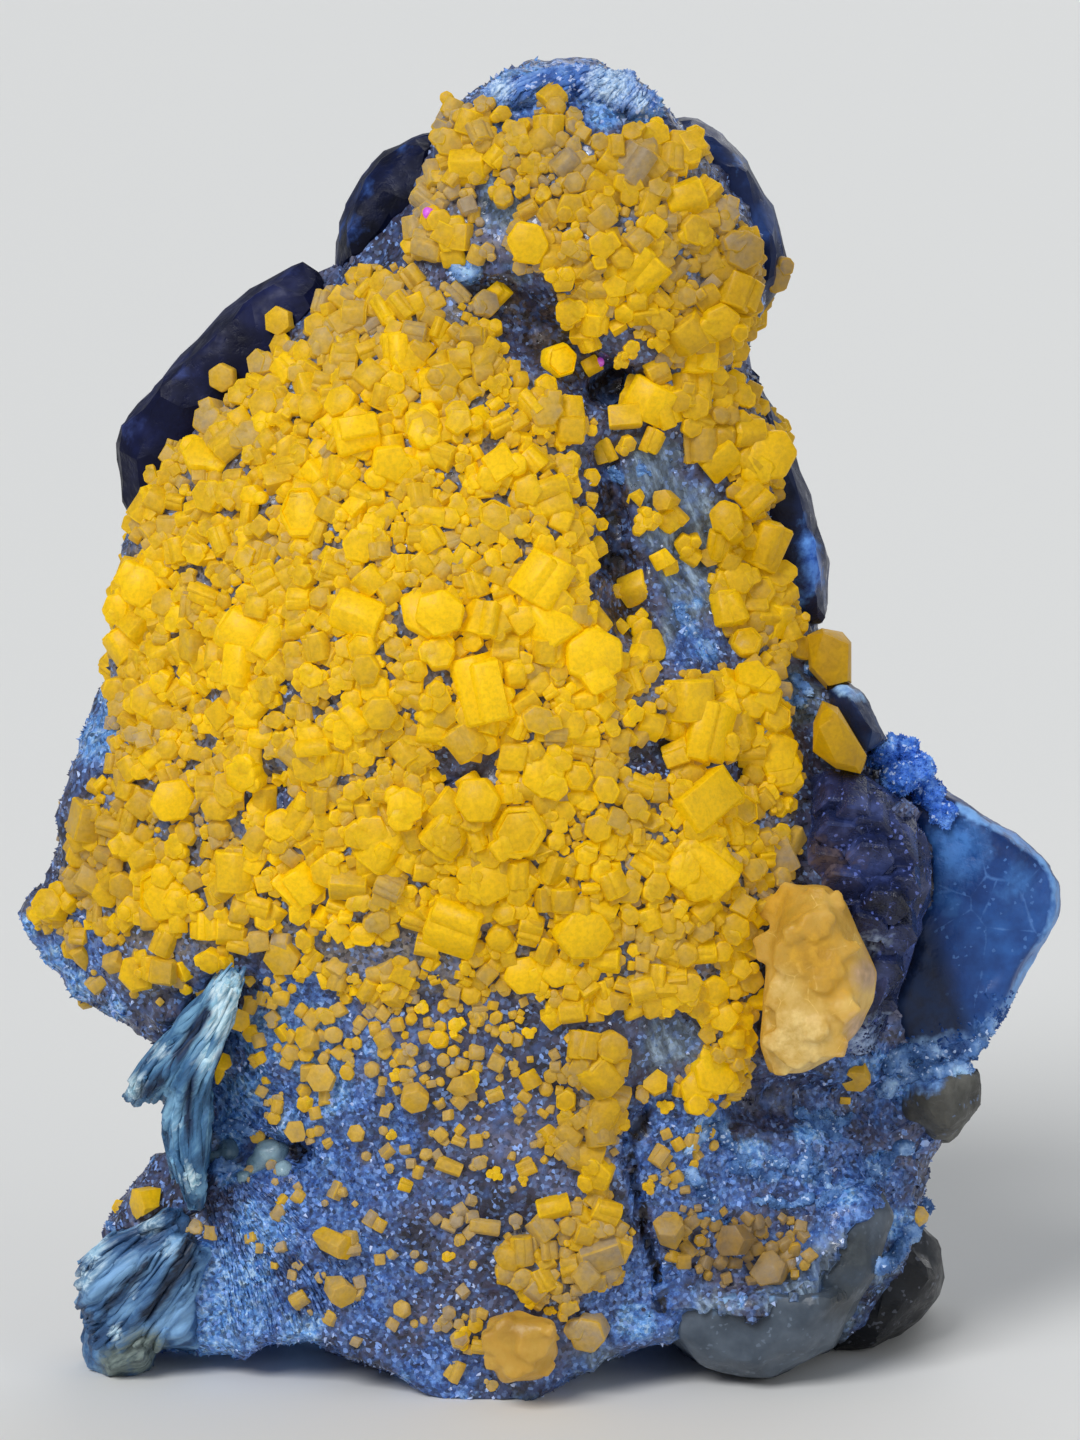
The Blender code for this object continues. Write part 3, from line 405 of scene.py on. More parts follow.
zones = {
    "azure": [(300, 1010, 60, 0.9), (240, 1060, 60, 0.9), (360, 1100, 60, 0.7), (400, 1060, 60, 0.5),
              (380, 1200, 60, 0.6), (460, 1130, 40, 0.4), (330, 1060, 80, 0.7), (270, 1110, 60, 0.9),
              (310, 1190, 80, 1), (400, 1130, 60, 0.6), (350, 1280, 80, 0.8), (430, 1200, 60, 0.4),
              (500, 1060, 40, 0.3), (220, 1300, 90, 1), (700, 1150, 90, 0.9), (800, 1150, 80, 0.7),
              (860, 1200, 70, 0.8), (500, 1110, 40, 0.4), (640, 1300, 60, 0.9), (70, 960, 60, 0.8),
              (100, 730, 50, 0.9), (760, 1240, 70, 0.5), (440, 1370, 60, 0.7), (660, 1230, 40, 0.5),
              (560, 1380, 50, 0.5), (540, 80, 90, 1), (615, 475, 20, 0.6), (700, 650, 36, 0.8),
              (860, 1060, 40, 0.9), (900, 1100, 40, 0.8)],
    "frost": [(300, 1040, 60, 0.58), (258, 1030, 50, 0.58), (335, 1090, 50, 0.54), (245, 1090, 40, 0.62),
              (290, 1130, 40, 0.5), (380, 1060, 40, 0.46), (500, 88, 30, 1), (545, 78, 30, 1),
              (600, 82, 30, 1), (640, 100, 26, 1), (605, 118, 16, 0.9), (465, 271, 16, 1),
              (500, 200, 12, 0.3), (92, 735, 30, 1), (100, 700, 16, 0.7), (30, 925, 14, 0.8),
              (50, 958, 18, 0.8), (80, 988, 20, 0.8), (115, 1010, 20, 0.7), (262, 1228, 46, 0.65),
              (300, 1120, 30, 0.45), (330, 1160, 30, 0.4), (280, 1075, 24, 0.4), (230, 1290, 60, 0.8),
              (205, 1335, 40, 0.9), (300, 1335, 30, 0.8), (320, 1250, 40, 0.35), (340, 1210, 26, 0.4),
              (232, 1128, 20, 1), (225, 1172, 22, 0.7), (712, 1128, 20, 0.7), (750, 1160, 26, 0.8),
              (815, 1130, 24, 0.7), (812, 1170, 20, 0.8), (845, 1195, 20, 0.6), (690, 1180, 20, 0.5),
              (880, 1165, 18, 0.9), (900, 1225, 20, 0.9), (636, 1322, 20, 1), (650, 1290, 10, 0.6),
              (615, 475, 8, 0.9), (642, 470, 8, 0.9), (690, 628, 10, 1), (706, 650, 12, 1),
              (680, 606, 10, 0.8), (715, 405, 12, 0.9), (698, 603, 8, 0.7), (470, 1400, 16, 0.5),
              (400, 1384, 16, 0.6), (870, 1060, 26, 0.7), (900, 1090, 20, 0.7), (905, 1070, 24, 0.8),
              (940, 1066, 26, 0.9), (966, 1078, 20, 0.9), (690, 1290, 12, 0.5), (740, 1305, 12, 0.5),
              (815, 1290, 8, 0.9)],
    "navy": [(768, 1112, 34, 1), (744, 1136, 26, 0.9), (796, 1124, 24, 0.9), (744, 1104, 22, 0.9),
             (600, 1230, 30, 0.3), (452, 1110, 30, 0.3)],
    "umber": [(505, 312, 30, 0.9), (540, 332, 30, 1), (575, 358, 26, 1), (612, 388, 24, 1),
              (614, 450, 22, 0.8), (612, 500, 24, 1), (614, 560, 24, 1), (618, 620, 22, 0.9),
              (732, 428, 16, 0.9), (640, 1130, 12, 0.8), (560, 300, 18, 0.7), (500, 745, 30, 0.3),
              (480, 1000, 60, 0.25), (600, 1000, 20, 0.5)],
    "silver": [(650, 470, 36, 0.9), (680, 520, 44, 1), (690, 580, 40, 0.9), (680, 620, 34, 0.8),
               (790, 700, 34, 0.9), (520, 130, 24, 0.7), (500, 205, 36, 0.8), (520, 270, 26, 0.6),
               (670, 1045, 46, 0.7), (850, 1250, 56, 0.9), (810, 1300, 56, 0.9), (225, 1150, 26, 0.9),
               (600, 1375, 40, 0.8), (530, 1405, 30, 0.6), (580, 460, 22, 0.5), (700, 1345, 60, 0.9),
               (470, 330, 30, 0.5), (330, 330, 30, 0.4)],
    # dark: painted shade in the crack, the holes and under the ledges, where the rock is also cut in
    "dark": alongLine(4, 4.4, 1.3, (650, 1108), (628, 1135), (632, 1160), (633, 1180), (640, 1200),
                      (643, 1225), (647, 1240), (655, 1265), (660, 1290), (661, 1312))
    + alongLine(4, 5, 1.1, (574, 736), (590, 743), (612, 744))
    + alongLine(5, 4, 0.8, (256, 806), (270, 810), (286, 806))
    + alongLine(5, 4, 0.7, (440, 779), (460, 777), (484, 780))
    + [(640, 1128, 12, 1), (597, 996, 12, 1.3), (590, 999, 9, 1.2), (296, 1149, 11, 1.3),
       (614, 388, 15, 1.3), (603, 391, 11, 1.2), (612, 520, 12, 0.7), (608, 560, 12, 0.7),
       (300, 1158, 7, 1), (612, 386, 19, 1.4), (600, 390, 13, 1.3)],
}

# Bare quartz where few crystals grow
barePatches = [[(452, 268), (500, 268), (530, 280), (575, 322), (600, 352), (632, 366), (638, 398),
                (612, 408), (580, 388), (545, 365), (505, 335), (478, 300)],
               [(602, 404), (626, 404), (644, 440), (700, 440), (722, 468), (712, 520), (704, 590),
                (736, 655), (714, 668), (672, 662), (640, 644), (612, 644), (598, 600), (600, 500)],
               [(478, 98), (498, 70), (545, 60), (600, 62), (648, 80), (668, 114), (640, 124), (622, 134),
                (604, 134), (586, 108), (560, 90), (520, 94), (500, 112)],
               [(566, 452), (600, 432), (606, 470), (580, 476)],
               [(436, 758), (490, 760), (488, 780), (440, 777)],
               [(626, 746), (668, 748), (664, 770), (630, 768)],
               [(708, 766), (738, 766), (734, 782), (712, 780)],
               [(254, 780), (284, 784), (282, 808), (256, 804)],
               [(484, 186), (512, 184), (510, 232), (486, 230)]]

# Fields that the apatite grows over, as outlines on the view
fields = {
    "knob": [(462, 108), (484, 96), (502, 124), (536, 106), (545, 82), (572, 80), (592, 124), (625, 132),
             (655, 118), (704, 138), (722, 196), (756, 230), (770, 300), (748, 342), (728, 385), (700, 400),
             (650, 362), (634, 336), (588, 334), (540, 290), (500, 262), (440, 262), (402, 268), (404, 226),
             (432, 160), (440, 112)],
    "body": [(322, 296), (345, 272), (400, 262), (452, 285), (486, 300), (508, 350), (560, 378), (592, 402),
             (600, 440), (584, 470), (596, 560), (604, 606), (650, 630), (662, 676), (700, 668), (796, 668),
             (806, 780), (800, 880), (762, 930), (756, 1040), (752, 1092), (700, 1118), (672, 1090),
             (690, 1020), (620, 1016), (560, 1030), (500, 1000), (440, 1000), (385, 1010), (330, 990),
             (285, 966), (240, 960), (200, 985), (160, 1008), (112, 990), (64, 955), (34, 925), (24, 912),
             (58, 872), (68, 800), (112, 762), (104, 700), (112, 610), (128, 520), (160, 450), (262, 362)],
    "flank": [(640, 388), (690, 366), (745, 378), (792, 440), (776, 520), (796, 600), (826, 660),
              (740, 690), (706, 668), (716, 600), (700, 560), (724, 500), (690, 440)],
    "vein": [(564, 1036), (626, 1030), (634, 1086), (622, 1130), (632, 1178), (612, 1202), (640, 1240),
             (618, 1290), (570, 1320), (504, 1296), (484, 1250), (514, 1216), (548, 1218), (580, 1180),
             (534, 1140), (560, 1100)],
}


def depthInside(outline, across, down):  # how far inside an outline, below nought outside it
    corners = np.array(outline, dtype=float)
    nearest = np.full(len(across), 1e9)
    inside = np.zeros(len(across), dtype=bool)
    for (ax, ay), (bx, by) in zip(corners, np.roll(corners, -1, axis=0)):
        run, drop = bx - ax, by - ay
        along = np.clip(((across - ax) * run + (down - ay) * drop) / (run**2 + drop**2), 0, 1)
        nearest = np.minimum(nearest, np.hypot(across - ax - along * run, down - ay - along * drop))
        crosses = (ay > down) != (by > down)
        with np.errstate(divide="ignore", invalid="ignore"):
            inside ^= crosses & (across < (down - ay) * run / drop + ax)
    return np.where(inside, nearest, -nearest)


def fieldDepth(across, down):  # how deep in the apatite fields, below nought outside them
    depth = np.full(len(across), -1e9)
    for outline in fields.values():
        depth = np.maximum(depth, depthInside(outline, across, down))
    for outline in barePatches:
        depth = np.minimum(depth, -depthInside(outline, across, down))
    return depth


# The quartz rock

rockLook = {"voxel": 0.62 * mm, "bed": 0.8 * mm, "cut": 1.3 * mm, "bedEdge": 24, "shownFrom": 0.1,
            "behindSize": 13 * mm, "behind": {"azure": (3, 1.0), "umber": (23, 0.7), "frost": (37, 0.7)},
            "base": ((36, 36, 56), (64, 64, 92), (100, 102, 132)),
            "azure": ((26, 50, 108), (52, 92, 166), (104, 150, 222)),
            "frost": ((46, 98, 176), (98, 158, 228), (186, 220, 252)),
            "navy": ((14, 16, 36), (30, 34, 64), (56, 62, 98)),
            # dark: near-black colours for the painted shade in cracks, holes and under ledges
            "dark": ((6, 5, 8), (14, 10, 16), (26, 20, 28)),
            "umber": ((24, 18, 22), (46, 36, 36), (76, 62, 58)),
            "silver": ((54, 68, 86), (86, 102, 120), (146, 170, 196)),
            "grown": ((96, 88, 88), (128, 118, 104), (164, 150, 122)), "zoneEdge": (0.45, 0.12),
            # the rock's Emission_Strength is a faint painted glow of its own colour
            "surface": {"Emission_Strength": 0.06, "Specular_IOR_Level": 0.6}, "patchNoise": (420, 6, 0.7),
            "fineNoise": (1500, 4, 0.7), "baseNoise": (170, 5, 0.6), "streakNoise": (900, 4, 0.65),
            "streaks": (-24, 7), "grains": 2900, "calm": (("umber", 1.0), ("navy", 1.0), ("silver", 0.8)),
            "tips": ((78, 122, 200), (196, 214, 255)), "glint": (138, 176, 246),
            "relief": (("CLOUDS", 6, 1.1, {"noise_depth": 2}), ("VORONOI", 2.6, 0.8, {}),
                       ("CLOUDS", 1.1, 0.5, {"noise_depth": 1}))}


def zoneOn(material, name, patch):  # where a zone shows, with a broken edge
    middle, soft = rockLook["zoneEdge"]
    weight = sums(material, "MULTIPLY_ADD", patch, 1.2, -0.6, clamp=False)
    weight = sums(material, "ADD", attributeNode(material, name), weight)
    return ramp(material, weight, (middle - soft, 0), (middle + soft, 1))


def rockFinish():
    material, shader = newMaterial("drusyQuartz")
    patch = noiseNode(material, *rockLook["patchNoise"])
    fine = noiseNode(material, *rockLook["fineNoise"])
    base = threeTones(material, noiseNode(material, *rockLook["baseNoise"]), rockLook["base"])
    base = mixed(material, product(material, zoneOn(material, "grown", patch), 0.6), base,
                 threeTones(material, fine, rockLook["grown"]))
    streaks = noiseNode(material, *rockLook["streakNoise"], drawnOut(material, *rockLook["streaks"]))
    for name in ("silver", "azure", "umber", "navy", "frost", "dark"):
        base = mixed(material, zoneOn(material, name, patch), base,
                     threeTones(material, streaks if name == "silver" else fine, rockLook[name]))
    grains = cellChances(material, rockLook["grains"])
    calm = attributeNode(material, "dark")  # fewer grains and glints where the quartz is smooth and in the painted shade of cracks and holes
    for name, share in rockLook["calm"]:
        calm = sums(material, "MULTIPLY_ADD", attributeNode(material, name), share, calm)
    rugged = sums(material, "MULTIPLY_ADD", calm, -0.8, 1.0)
    base = mixed(material, rugged, base, ramp(material, grains["Red"], (0, 0.22), (0.5, 0.72), (1, 1)),
                 "MULTIPLY")
    # druse tips lighter by their tone: bluer tips, and near-white painted glints on the few with the
    # highest tone
    tone = attributeNode(material, "tone")
    base = mixed(material, ramp(material, tone, (0.2, 0), (0.6, 0.35), (1, 0.9)), base,
                 ramp(material, tone, (0.5, tint(*rockLook["tips"][0])), (1, tint(*rockLook["tips"][1]))))
    glint = product(material, ramp(material, grains["Green"], (0.66, 0), (0.9, 0.24), (1, 0.8)), rugged)
    base = mixed(material, glint, base, tint(*rockLook["glint"]))
    # the base colour also glows faintly here, a painted glow
    setSockets(material, shader, Base_Color=base, Emission_Color=base, **rockLook["surface"],
               Roughness=ramp(material, grains["Blue"], (0, 0.15), (0.7, 0.6)),
               Normal=bumpNode(material, grains["Red"], fine, 0.1 * mm, 0.8))
    return material


def behindShare(name, places, ways):  # patches that show on the faces turned away
    if name not in rockLook["behind"]:
        return np.zeros(len(places))
    shift, strength = rockLook["behind"][name]
    patches = [noise.fractal(Vector(place) / rockLook["behindSize"] + Vector((shift, 0, 0)), 0.5, 2.1, 4)
               for place in places]
    return np.clip(ways[:, 1] * 3, 0, 1) * np.clip(np.array(patches) * strength, 0, 0.7)


seamLook = {"nodes": ["clear_quartz_rim", "smoky_quartz_lower_right", "grey_quartz_lump",
                      "blue_quartz_slab", "violet_quartz_crystal", "blue_quartz_lump", "smoky_quartz_left",
                      "smoky_quartz_upper_left", "smoky_quartz_right_knob", "smoky_quartz_right_flank",
                      "mica_blade_lower", "mica_cap"], "voxel": 0.6 * mm, "fill": 1.5 * mm,
            "cover": 0.55 * mm, "under": 0.8 * mm, "held": 0.62 * mm, "over": 0.9 * mm,
            "bare": [(1031, 964, 18, 1), (1052, 900, 20, 1), (1012, 1006, 16, 1), (784, 220, 18, 1),
                     (776, 195, 14, 1), (560, 60, 12, 1)],
            "overlap": alongLine(10, 26, 1, (664, 1290), (700, 1284), (745, 1294), (782, 1280), (812, 1254),
                                 (832, 1224), (852, 1196), (874, 1170)),
            "spots": [(800, 1270, 150, 1), (740, 1340, 110, 1), (900, 1130, 90, 1), (860, 980, 130, 1),
                      (830, 720, 80, 1), (370, 190, 90, 0.8), (720, 150, 70, 0.8), (200, 390, 110, 0.9),
                      (800, 560, 60, 0.8), (150, 1280, 90, 1), (570, 100, 90, 0.7)]}


def closeSeams(rock):  # fills the narrow grooves where stones meet the rock
    for sign in (1, -1):
        weight = weightAt(seamLook["spots"], pointsOf(rock)) ** 0.3
        pushOut(rock, sign * seamLook["fill"] * weight)
        if sign > 0:
            remesh(rock, rockLook["voxel"])


def sinkUnder(rock, tree, held):  # keeps the rock below the faces of the stones
    places = pointsOf(rock)
    crust = weightAt(seamLook["overlap"], places) * (normalsOf(rock)[:, 1] < 0.2)
    held = held | (weightAt(seamLook["bare"], places) > 0)
    for index, point in enumerate(places):
        spot, out, _, _ = tree.find_nearest(Vector(point), 3 * mm)
        if spot is None:
            continue
        above = (Vector(point) - spot).dot(out)
        if crust[index] > 0.4 + 0.35 * noise.noise(Vector(point) / (1.6 * mm)):
            places[index] = Vector(point) + out * seamLook["over"]
        elif above < seamLook["cover"] or held[index]:
            places[index] = spot - out * max(seamLook["under"], -above)
    movePoints(rock, places)


def buildRock():
    stone = joined([workingCopy(name, name + "Seam") for name in seamLook["nodes"]], "stoneSeams")
    remesh(stone, seamLook["voxel"])
    seams = newPiece("seams", stone.data.copy())
    rock = joined([workingCopy("quartz_matrix", "rockCore"), seams], "quartzRock")
    remesh(rock, rockLook["voxel"])
    closeSeams(rock)
    seamTree = treeOf(stone)
    held = ~clearOf(seamTree, pointsOf(rock), seamLook["held"])
    across, down = seenAt(pointsOf(rock))
    shown = np.clip((rockLook["shownFrom"] - normalsOf(rock)[:, 1]) * 4, 0, 1)
    bed = np.clip(fieldDepth(across, down) / rockLook["bedEdge"], 0, 1) * shown
    pushOut(rock, bed * rockLook["bed"])
    for kind, size, height, looks in rockLook["relief"]:
        roughen(rock, kind, size * mm, height * mm, **looks)
    pushOut(rock, -zoneWeight(zones["dark"], across, down, shown) * rockLook["cut"])
    sinkUnder(rock, seamTree, held)
    bpy.data.objects.remove(stone)
    places, ways = liftToGround(rock), normalsOf(rock)
    across, down = seenAt(places)
    for name, spots in zones.items():
        addAttribute(rock, name, np.maximum(zoneWeight(spots, across, down, shown),
                                            behindShare(name, places, ways)))
    addAttribute(rock, "grown", bed)
    addAttribute(rock, "tone", np.random.default_rng(5).uniform(0, 0.7, len(places)) ** 1.6)
    finishPiece(rock, rockFinish(), "drusy_quartz", "quartz_matrix", smooth=40)
    return rock, seamTree


# Apatite crystals: placed ones as across, down and half width on the view

crystalLook = {
    "kinds": (("facing", 0.9, "end", 0.1), ("bright", 0.86, "any", 0.17), ("even", 0.6, "any", 0.17),
              ("pale", 0.32, "any", 0.17), ("lying", 0.66, "side", 0.17)),
    "facing": [(528, 243, 21), (305, 515, 27), (425, 615, 28), (543, 775, 22), (175, 800, 24),
               (490, 880, 27), (765, 455, 32), (585, 853, 13), (440, 612, 24), (340, 727, 17),
               (700, 868, 36), (165, 892, 31)],
    "bright": [(553, 128, 15), (470, 162, 20), (655, 135, 16), (685, 200, 20), (600, 250, 20),
               (645, 270, 24), (730, 290, 24), (720, 320, 26), (555, 362, 18), (705, 355, 22),
               (445, 232, 20), (495, 290, 13), (365, 290, 12), (405, 360, 20), (395, 385, 15),
               (200, 465, 32), (335, 420, 18), (355, 435, 25), (385, 465, 25), (365, 550, 30),
               (400, 350, 22), (425, 430, 22), (502, 462, 27), (650, 400, 25), (150, 585, 32),
               (125, 605, 20), (245, 635, 28), (240, 665, 22), (360, 615, 25), (250, 716, 16),
               (340, 727, 17), (130, 840, 28), (405, 805, 25), (375, 835, 30), (535, 575, 26),
               (548, 622, 32), (590, 660, 38), (480, 690, 38), (495, 700, 25), (510, 778, 10),
               (590, 850, 11), (480, 800, 25), (660, 408, 22), (720, 460, 25), (750, 495, 20),
               (728, 523, 24), (765, 545, 26), (725, 610, 20), (660, 560, 10), (778, 620, 20),
               (745, 685, 25), (700, 730, 35), (770, 755, 32), (785, 808, 12), (700, 800, 40),
               (700, 870, 38), (760, 1000, 20), (745, 1040, 25), (710, 1075, 38), (165, 892, 32),
               (60, 905, 25), (300, 885, 22), (250, 770, 20), (315, 735, 22), (150, 770, 16), (165, 765, 9),
               (385, 845, 33), (445, 835, 28), (515, 835, 30), (455, 925, 35), (580, 930, 32),
               (555, 975, 32), (525, 975, 28), (565, 850, 8), (590, 890, 10), (530, 915, 10), (410, 890, 9),
               (425, 895, 10), (345, 915, 9), (325, 915, 10), (348, 938, 9), (355, 990, 9), (385, 985, 14),
               (325, 980, 12), (423, 1008, 10), (455, 1028, 14), (505, 1028, 8), (530, 1033, 9),
               (587, 1008, 7), (395, 1075, 10), (405, 1185, 10), (460, 1340, 14), (448, 1257, 9),
               (550, 1135, 14), (600, 1175, 22), (553, 1205, 24), (525, 1180, 8), (600, 1285, 8),
               (550, 1310, 8), (470, 1080, 12), (665, 1105, 9), (695, 1090, 28), (495, 1175, 10)],
    "even": [(552, 98, 14), (575, 150, 12), (437, 175, 17), (500, 115, 12), (530, 165, 14), (548, 165, 10),
             (502, 195, 14), (525, 190, 12), (430, 250, 18), (617, 150, 16), (690, 150, 22), (575, 205, 18),
             (605, 205, 15), (560, 280, 18), (600, 290, 16), (570, 310, 16), (690, 230, 18), (685, 330, 22),
             (645, 315, 14), (617, 325, 10), (640, 335, 8), (588, 340, 14), (592, 365, 10), (630, 350, 11),
             (620, 360, 8), (655, 368, 14), (640, 400, 20), (680, 395, 20), (355, 315, 15), (300, 375, 15),
             (345, 360, 18), (155, 480, 12), (145, 510, 15), (240, 500, 18), (205, 515, 12), (260, 530, 15),
             (225, 540, 15), (440, 330, 12), (425, 430, 20), (463, 425, 20), (590, 500, 8), (583, 335, 14),
             (505, 385, 13), (570, 410, 15), (530, 405, 15), (690, 390, 22), (605, 450, 16), (645, 525, 12),
             (668, 520, 12), (598, 525, 8), (570, 530, 12), (595, 548, 10), (590, 478, 9), (125, 645, 18),
             (270, 645, 16), (280, 665, 14), (345, 650, 15), (140, 695, 20), (150, 715, 13), (175, 690, 12),
             (335, 760, 14), (310, 730, 10), (380, 710, 18), (365, 755, 14), (230, 790, 12), (355, 790, 13),
             (320, 830, 11), (340, 845, 7), (555, 568, 9), (640, 625, 15), (645, 650, 20), (620, 628, 8),
             (480, 620, 22), (475, 585, 14), (450, 600, 14), (440, 655, 20), (435, 700, 18), (690, 700, 28),
             (650, 725, 15), (680, 755, 18), (520, 830, 28), (445, 830, 22), (625, 418, 18), (690, 425, 15),
             (625, 443, 12), (735, 585, 22), (772, 578, 20), (645, 520, 13), (670, 518, 15), (685, 540, 14),
             (690, 555, 10), (740, 395, 15), (740, 905, 18), (85, 820, 25), (185, 970, 14), (215, 955, 18),
             (240, 945, 14), (230, 930, 16), (305, 970, 14), (235, 870, 24), (265, 880, 15), (330, 870, 16),
             (205, 868, 8), (260, 905, 14), (265, 920, 12), (215, 895, 12), (300, 815, 20), (230, 790, 18),
             (310, 760, 22), (150, 700, 22), (115, 765, 12), (495, 965, 12), (425, 870, 14), (430, 930, 10),
             (435, 965, 10), (435, 980, 9), (355, 980, 9), (440, 1040, 12), (590, 1045, 16),
             (252, 1033, 12), (283, 1033, 11), (348, 1072, 10), (305, 1103, 13), (275, 1117, 9),
             (328, 1143, 8), (392, 1135, 7), (390, 1167, 7), (460, 1140, 9), (282, 1200, 8), (380, 1225, 9),
             (460, 1240, 8), (600, 1075, 22), (600, 1110, 22), (600, 1130, 20), (525, 1165, 12),
             (525, 1250, 20), (620, 1250, 16), (570, 1265, 12), (480, 1345, 12), (475, 1325, 10),
             (495, 1095, 11), (530, 1080, 14), (650, 1185, 7), (700, 1240, 15), (845, 1100, 8),
             (120, 1205, 14)],
    "pale": [(425, 200, 15), (452, 110, 14), (448, 128, 12), (485, 105, 12), (480, 135, 14), (510, 150, 12),
             (490, 250, 10), (459, 293, 13), (483, 306, 14), (475, 343, 17), (632, 165, 22), (725, 215, 18),
             (740, 250, 22), (770, 275, 19), (325, 305, 14), (330, 340, 20), (265, 370, 18), (215, 420, 22),
             (255, 440, 22), (172, 447, 10), (415, 335, 16), (450, 380, 20), (545, 410, 20), (300, 755, 20),
             (615, 695, 18), (540, 720, 20), (470, 735, 20), (545, 850, 12), (700, 445, 20), (616, 592, 8),
             (780, 860, 28), (830, 905, 14), (125, 900, 10), (75, 945, 14), (100, 985, 15), (290, 840, 10),
             (145, 740, 18), (540, 850, 12), (350, 885, 20), (390, 885, 16), (380, 918, 16), (500, 985, 14),
             (330, 1015, 15), (370, 1012, 9), (460, 1008, 6), (480, 1008, 14), (350, 1055, 10),
             (410, 1050, 12), (380, 1090, 8), (275, 1018, 12), (280, 1097, 8), (388, 1152, 9),
             (335, 1190, 12), (350, 1250, 16), (300, 1300, 14), (445, 1325, 14), (300, 1265, 9),
             (320, 1275, 8), (385, 1110, 11), (460, 1210, 10), (195, 1230, 12), (210, 1232, 11),
             (250, 1172, 8), (515, 1220, 12), (600, 1250, 24), (590, 1330, 20), (490, 1385, 10),
             (455, 1370, 15), (640, 1095, 10), (480, 1165, 14), (660, 1157, 12), (665, 1180, 9),
             (725, 1285, 10), (705, 1232, 7), (760, 1230, 16), (790, 1235, 14), (690, 1140, 8),
             (460, 1340, 12)],
    "lying": [(553, 505, 24), (650, 440, 15), (638, 588, 18), (265, 797, 14), (585, 700, 15),
              (545, 1280, 18), (545, 408, 15), (300, 600, 15), (180, 650, 14), (430, 540, 15)],
    "small": ((6, 1, 1.7, 0.14, 0.05, 0.12), (6, 1, 1.9, 0.2, 0.09, 0.16), (5, 1, 1.5, 0.16, 0.1, 0.14),
              (4, 1.15, 1.6, 0.14, 0.08, 0.16), (6, 1, 1.4, 0.24, 0.1, 0.18),
              (4, 1.1, 2.0, 0.18, 0.12, 0.2)),
    "fill": (("coarse", 1500, 9, 17, 0.5, 0.58, 0.14, 1), ("medium", 2500, 6, 11, 0.47, 0.5, 0.17, 0.45),
             ("fine", 4200, 3.6, 6.5, 0.55, 0.42, 0.2, 0)),
    "stray": (700, 4, 12),
    "clusters": (235, 15, 0.6),
    "clusterShares": (6, 4, 1, 4),
    "clustersIn": [[(300, 960), (560, 1030), (580, 1200), (470, 1290), (560, 1340), (480, 1398),
                    (340, 1340), (240, 1250), (250, 1040)],
                   [(664, 1205), (800, 1215), (815, 1275), (730, 1292), (672, 1262)],
                   [(664, 1120), (720, 1130), (690, 1200), (650, 1190)],
                   [(240, 975), (380, 965), (560, 1000), (560, 1075), (400, 1085), (250, 1065)]],
    # darker crystals: painted shade on the right flank and under the pale mass, and duller crystals in the
    # lower druse
    "dimmer": [(740, 1250, 90, 1.0), (400, 1230, 150, 0.2), (858, 1085, 34, 0.4), (770, 520, 90, 0.75),
               (730, 430, 70, 0.55), (745, 280, 70, 0.8), (680, 330, 60, 0.4), (745, 640, 70, 0.5),
               (845, 735, 50, 0.8), (832, 655, 44, 0.9), (740, 790, 110, 0.4), (520, 890, 130, 0.35),
               (610, 170, 120, 0.35), (720, 900, 90, 0.35), (700, 1075, 50, 0.3), (600, 1120, 120, 0.4),
               (560, 1260, 120, 0.3), (120, 870, 90, 0.3), (480, 330, 60, 0.3)],
    "thinned": [(110, 985, 75, 1.0), (60, 940, 40, 0.6), (200, 970, 55, 0.9), (280, 980, 60, 1.0),
                (350, 1000, 70, 1.0), (430, 1010, 70, 0.9), (505, 1010, 50, 0.8), (300, 935, 60, 0.45),
                (400, 960, 60, 0.5), (170, 930, 60, 0.5), (600, 1130, 110, 0.2), (580, 1260, 90, 0.2),
                (130, 890, 90, 0.25), (540, 1010, 50, 0.3), (700, 470, 60, 0.3), (480, 220, 60, 0.35),
                (330, 320, 60, 0.15), (620, 770, 50, 0.3), (300, 700, 200, 0.1), (440, 480, 200, 0.1)],
    "brighter": [(330, 450, 110, 0.9), (200, 640, 90, 0.8), (520, 680, 120, 1), (300, 860, 80, 0.7),
                 (520, 860, 110, 1), (700, 740, 70, 1), (700, 860, 60, 1), (490, 470, 60, 0.9),
                 (160, 890, 50, 1), (560, 960, 60, 0.8), (740, 500, 60, 0.5)],
    "duller": [(858, 1085, 34, 0.6), (590, 1130, 80, 0.6), (740, 1250, 80, 1.2), (600, 150, 130, 0.55),
               (440, 210, 90, 0.8), (340, 310, 70, 0.8), (220, 420, 80, 0.5), (700, 230, 90, 0.4),
               (400, 1250, 150, 1.0), (250, 1180, 90, 0.8), (420, 1130, 120, 0.5), (560, 1200, 100, 0.75),
               (600, 1300, 100, 0.8), (770, 1250, 100, 0.9), (60, 850, 60, 0.7), (110, 720, 50, 0.6),
               (790, 880, 60, 0.7), (620, 780, 60, 0.5), (560, 1080, 60, 0.4), (350, 1080, 80, 0.3)],
    "big": 26,
    "lowSize": 0.8,
    "cornerSize": 0.62,
    "bigSize": 0.93,
    "loneSize": 0.78,
    "sunk": 0.25,
    "room": 0.85,
    "retoned": (0.06, 0.2, 0.4),
    # the apatite's emission is a painted glow standing in for its fluorescence
    "surface": {"Emission_Strength": 0.29, "Specular_IOR_Level": 0.27, "Subsurface_Weight": 0.4,
                "Subsurface_Radius": (1.0, 0.75, 0.3), "Subsurface_Scale": 0.7 * mm},
    "onSide": 0.45,
    "lean": 0.17,
    "towards": 1.3,
    "rise": (-0.1, 0.25),
    "soft": 24,
    "gap": (2.1 * mm, 0.4),
    "seed": 4,
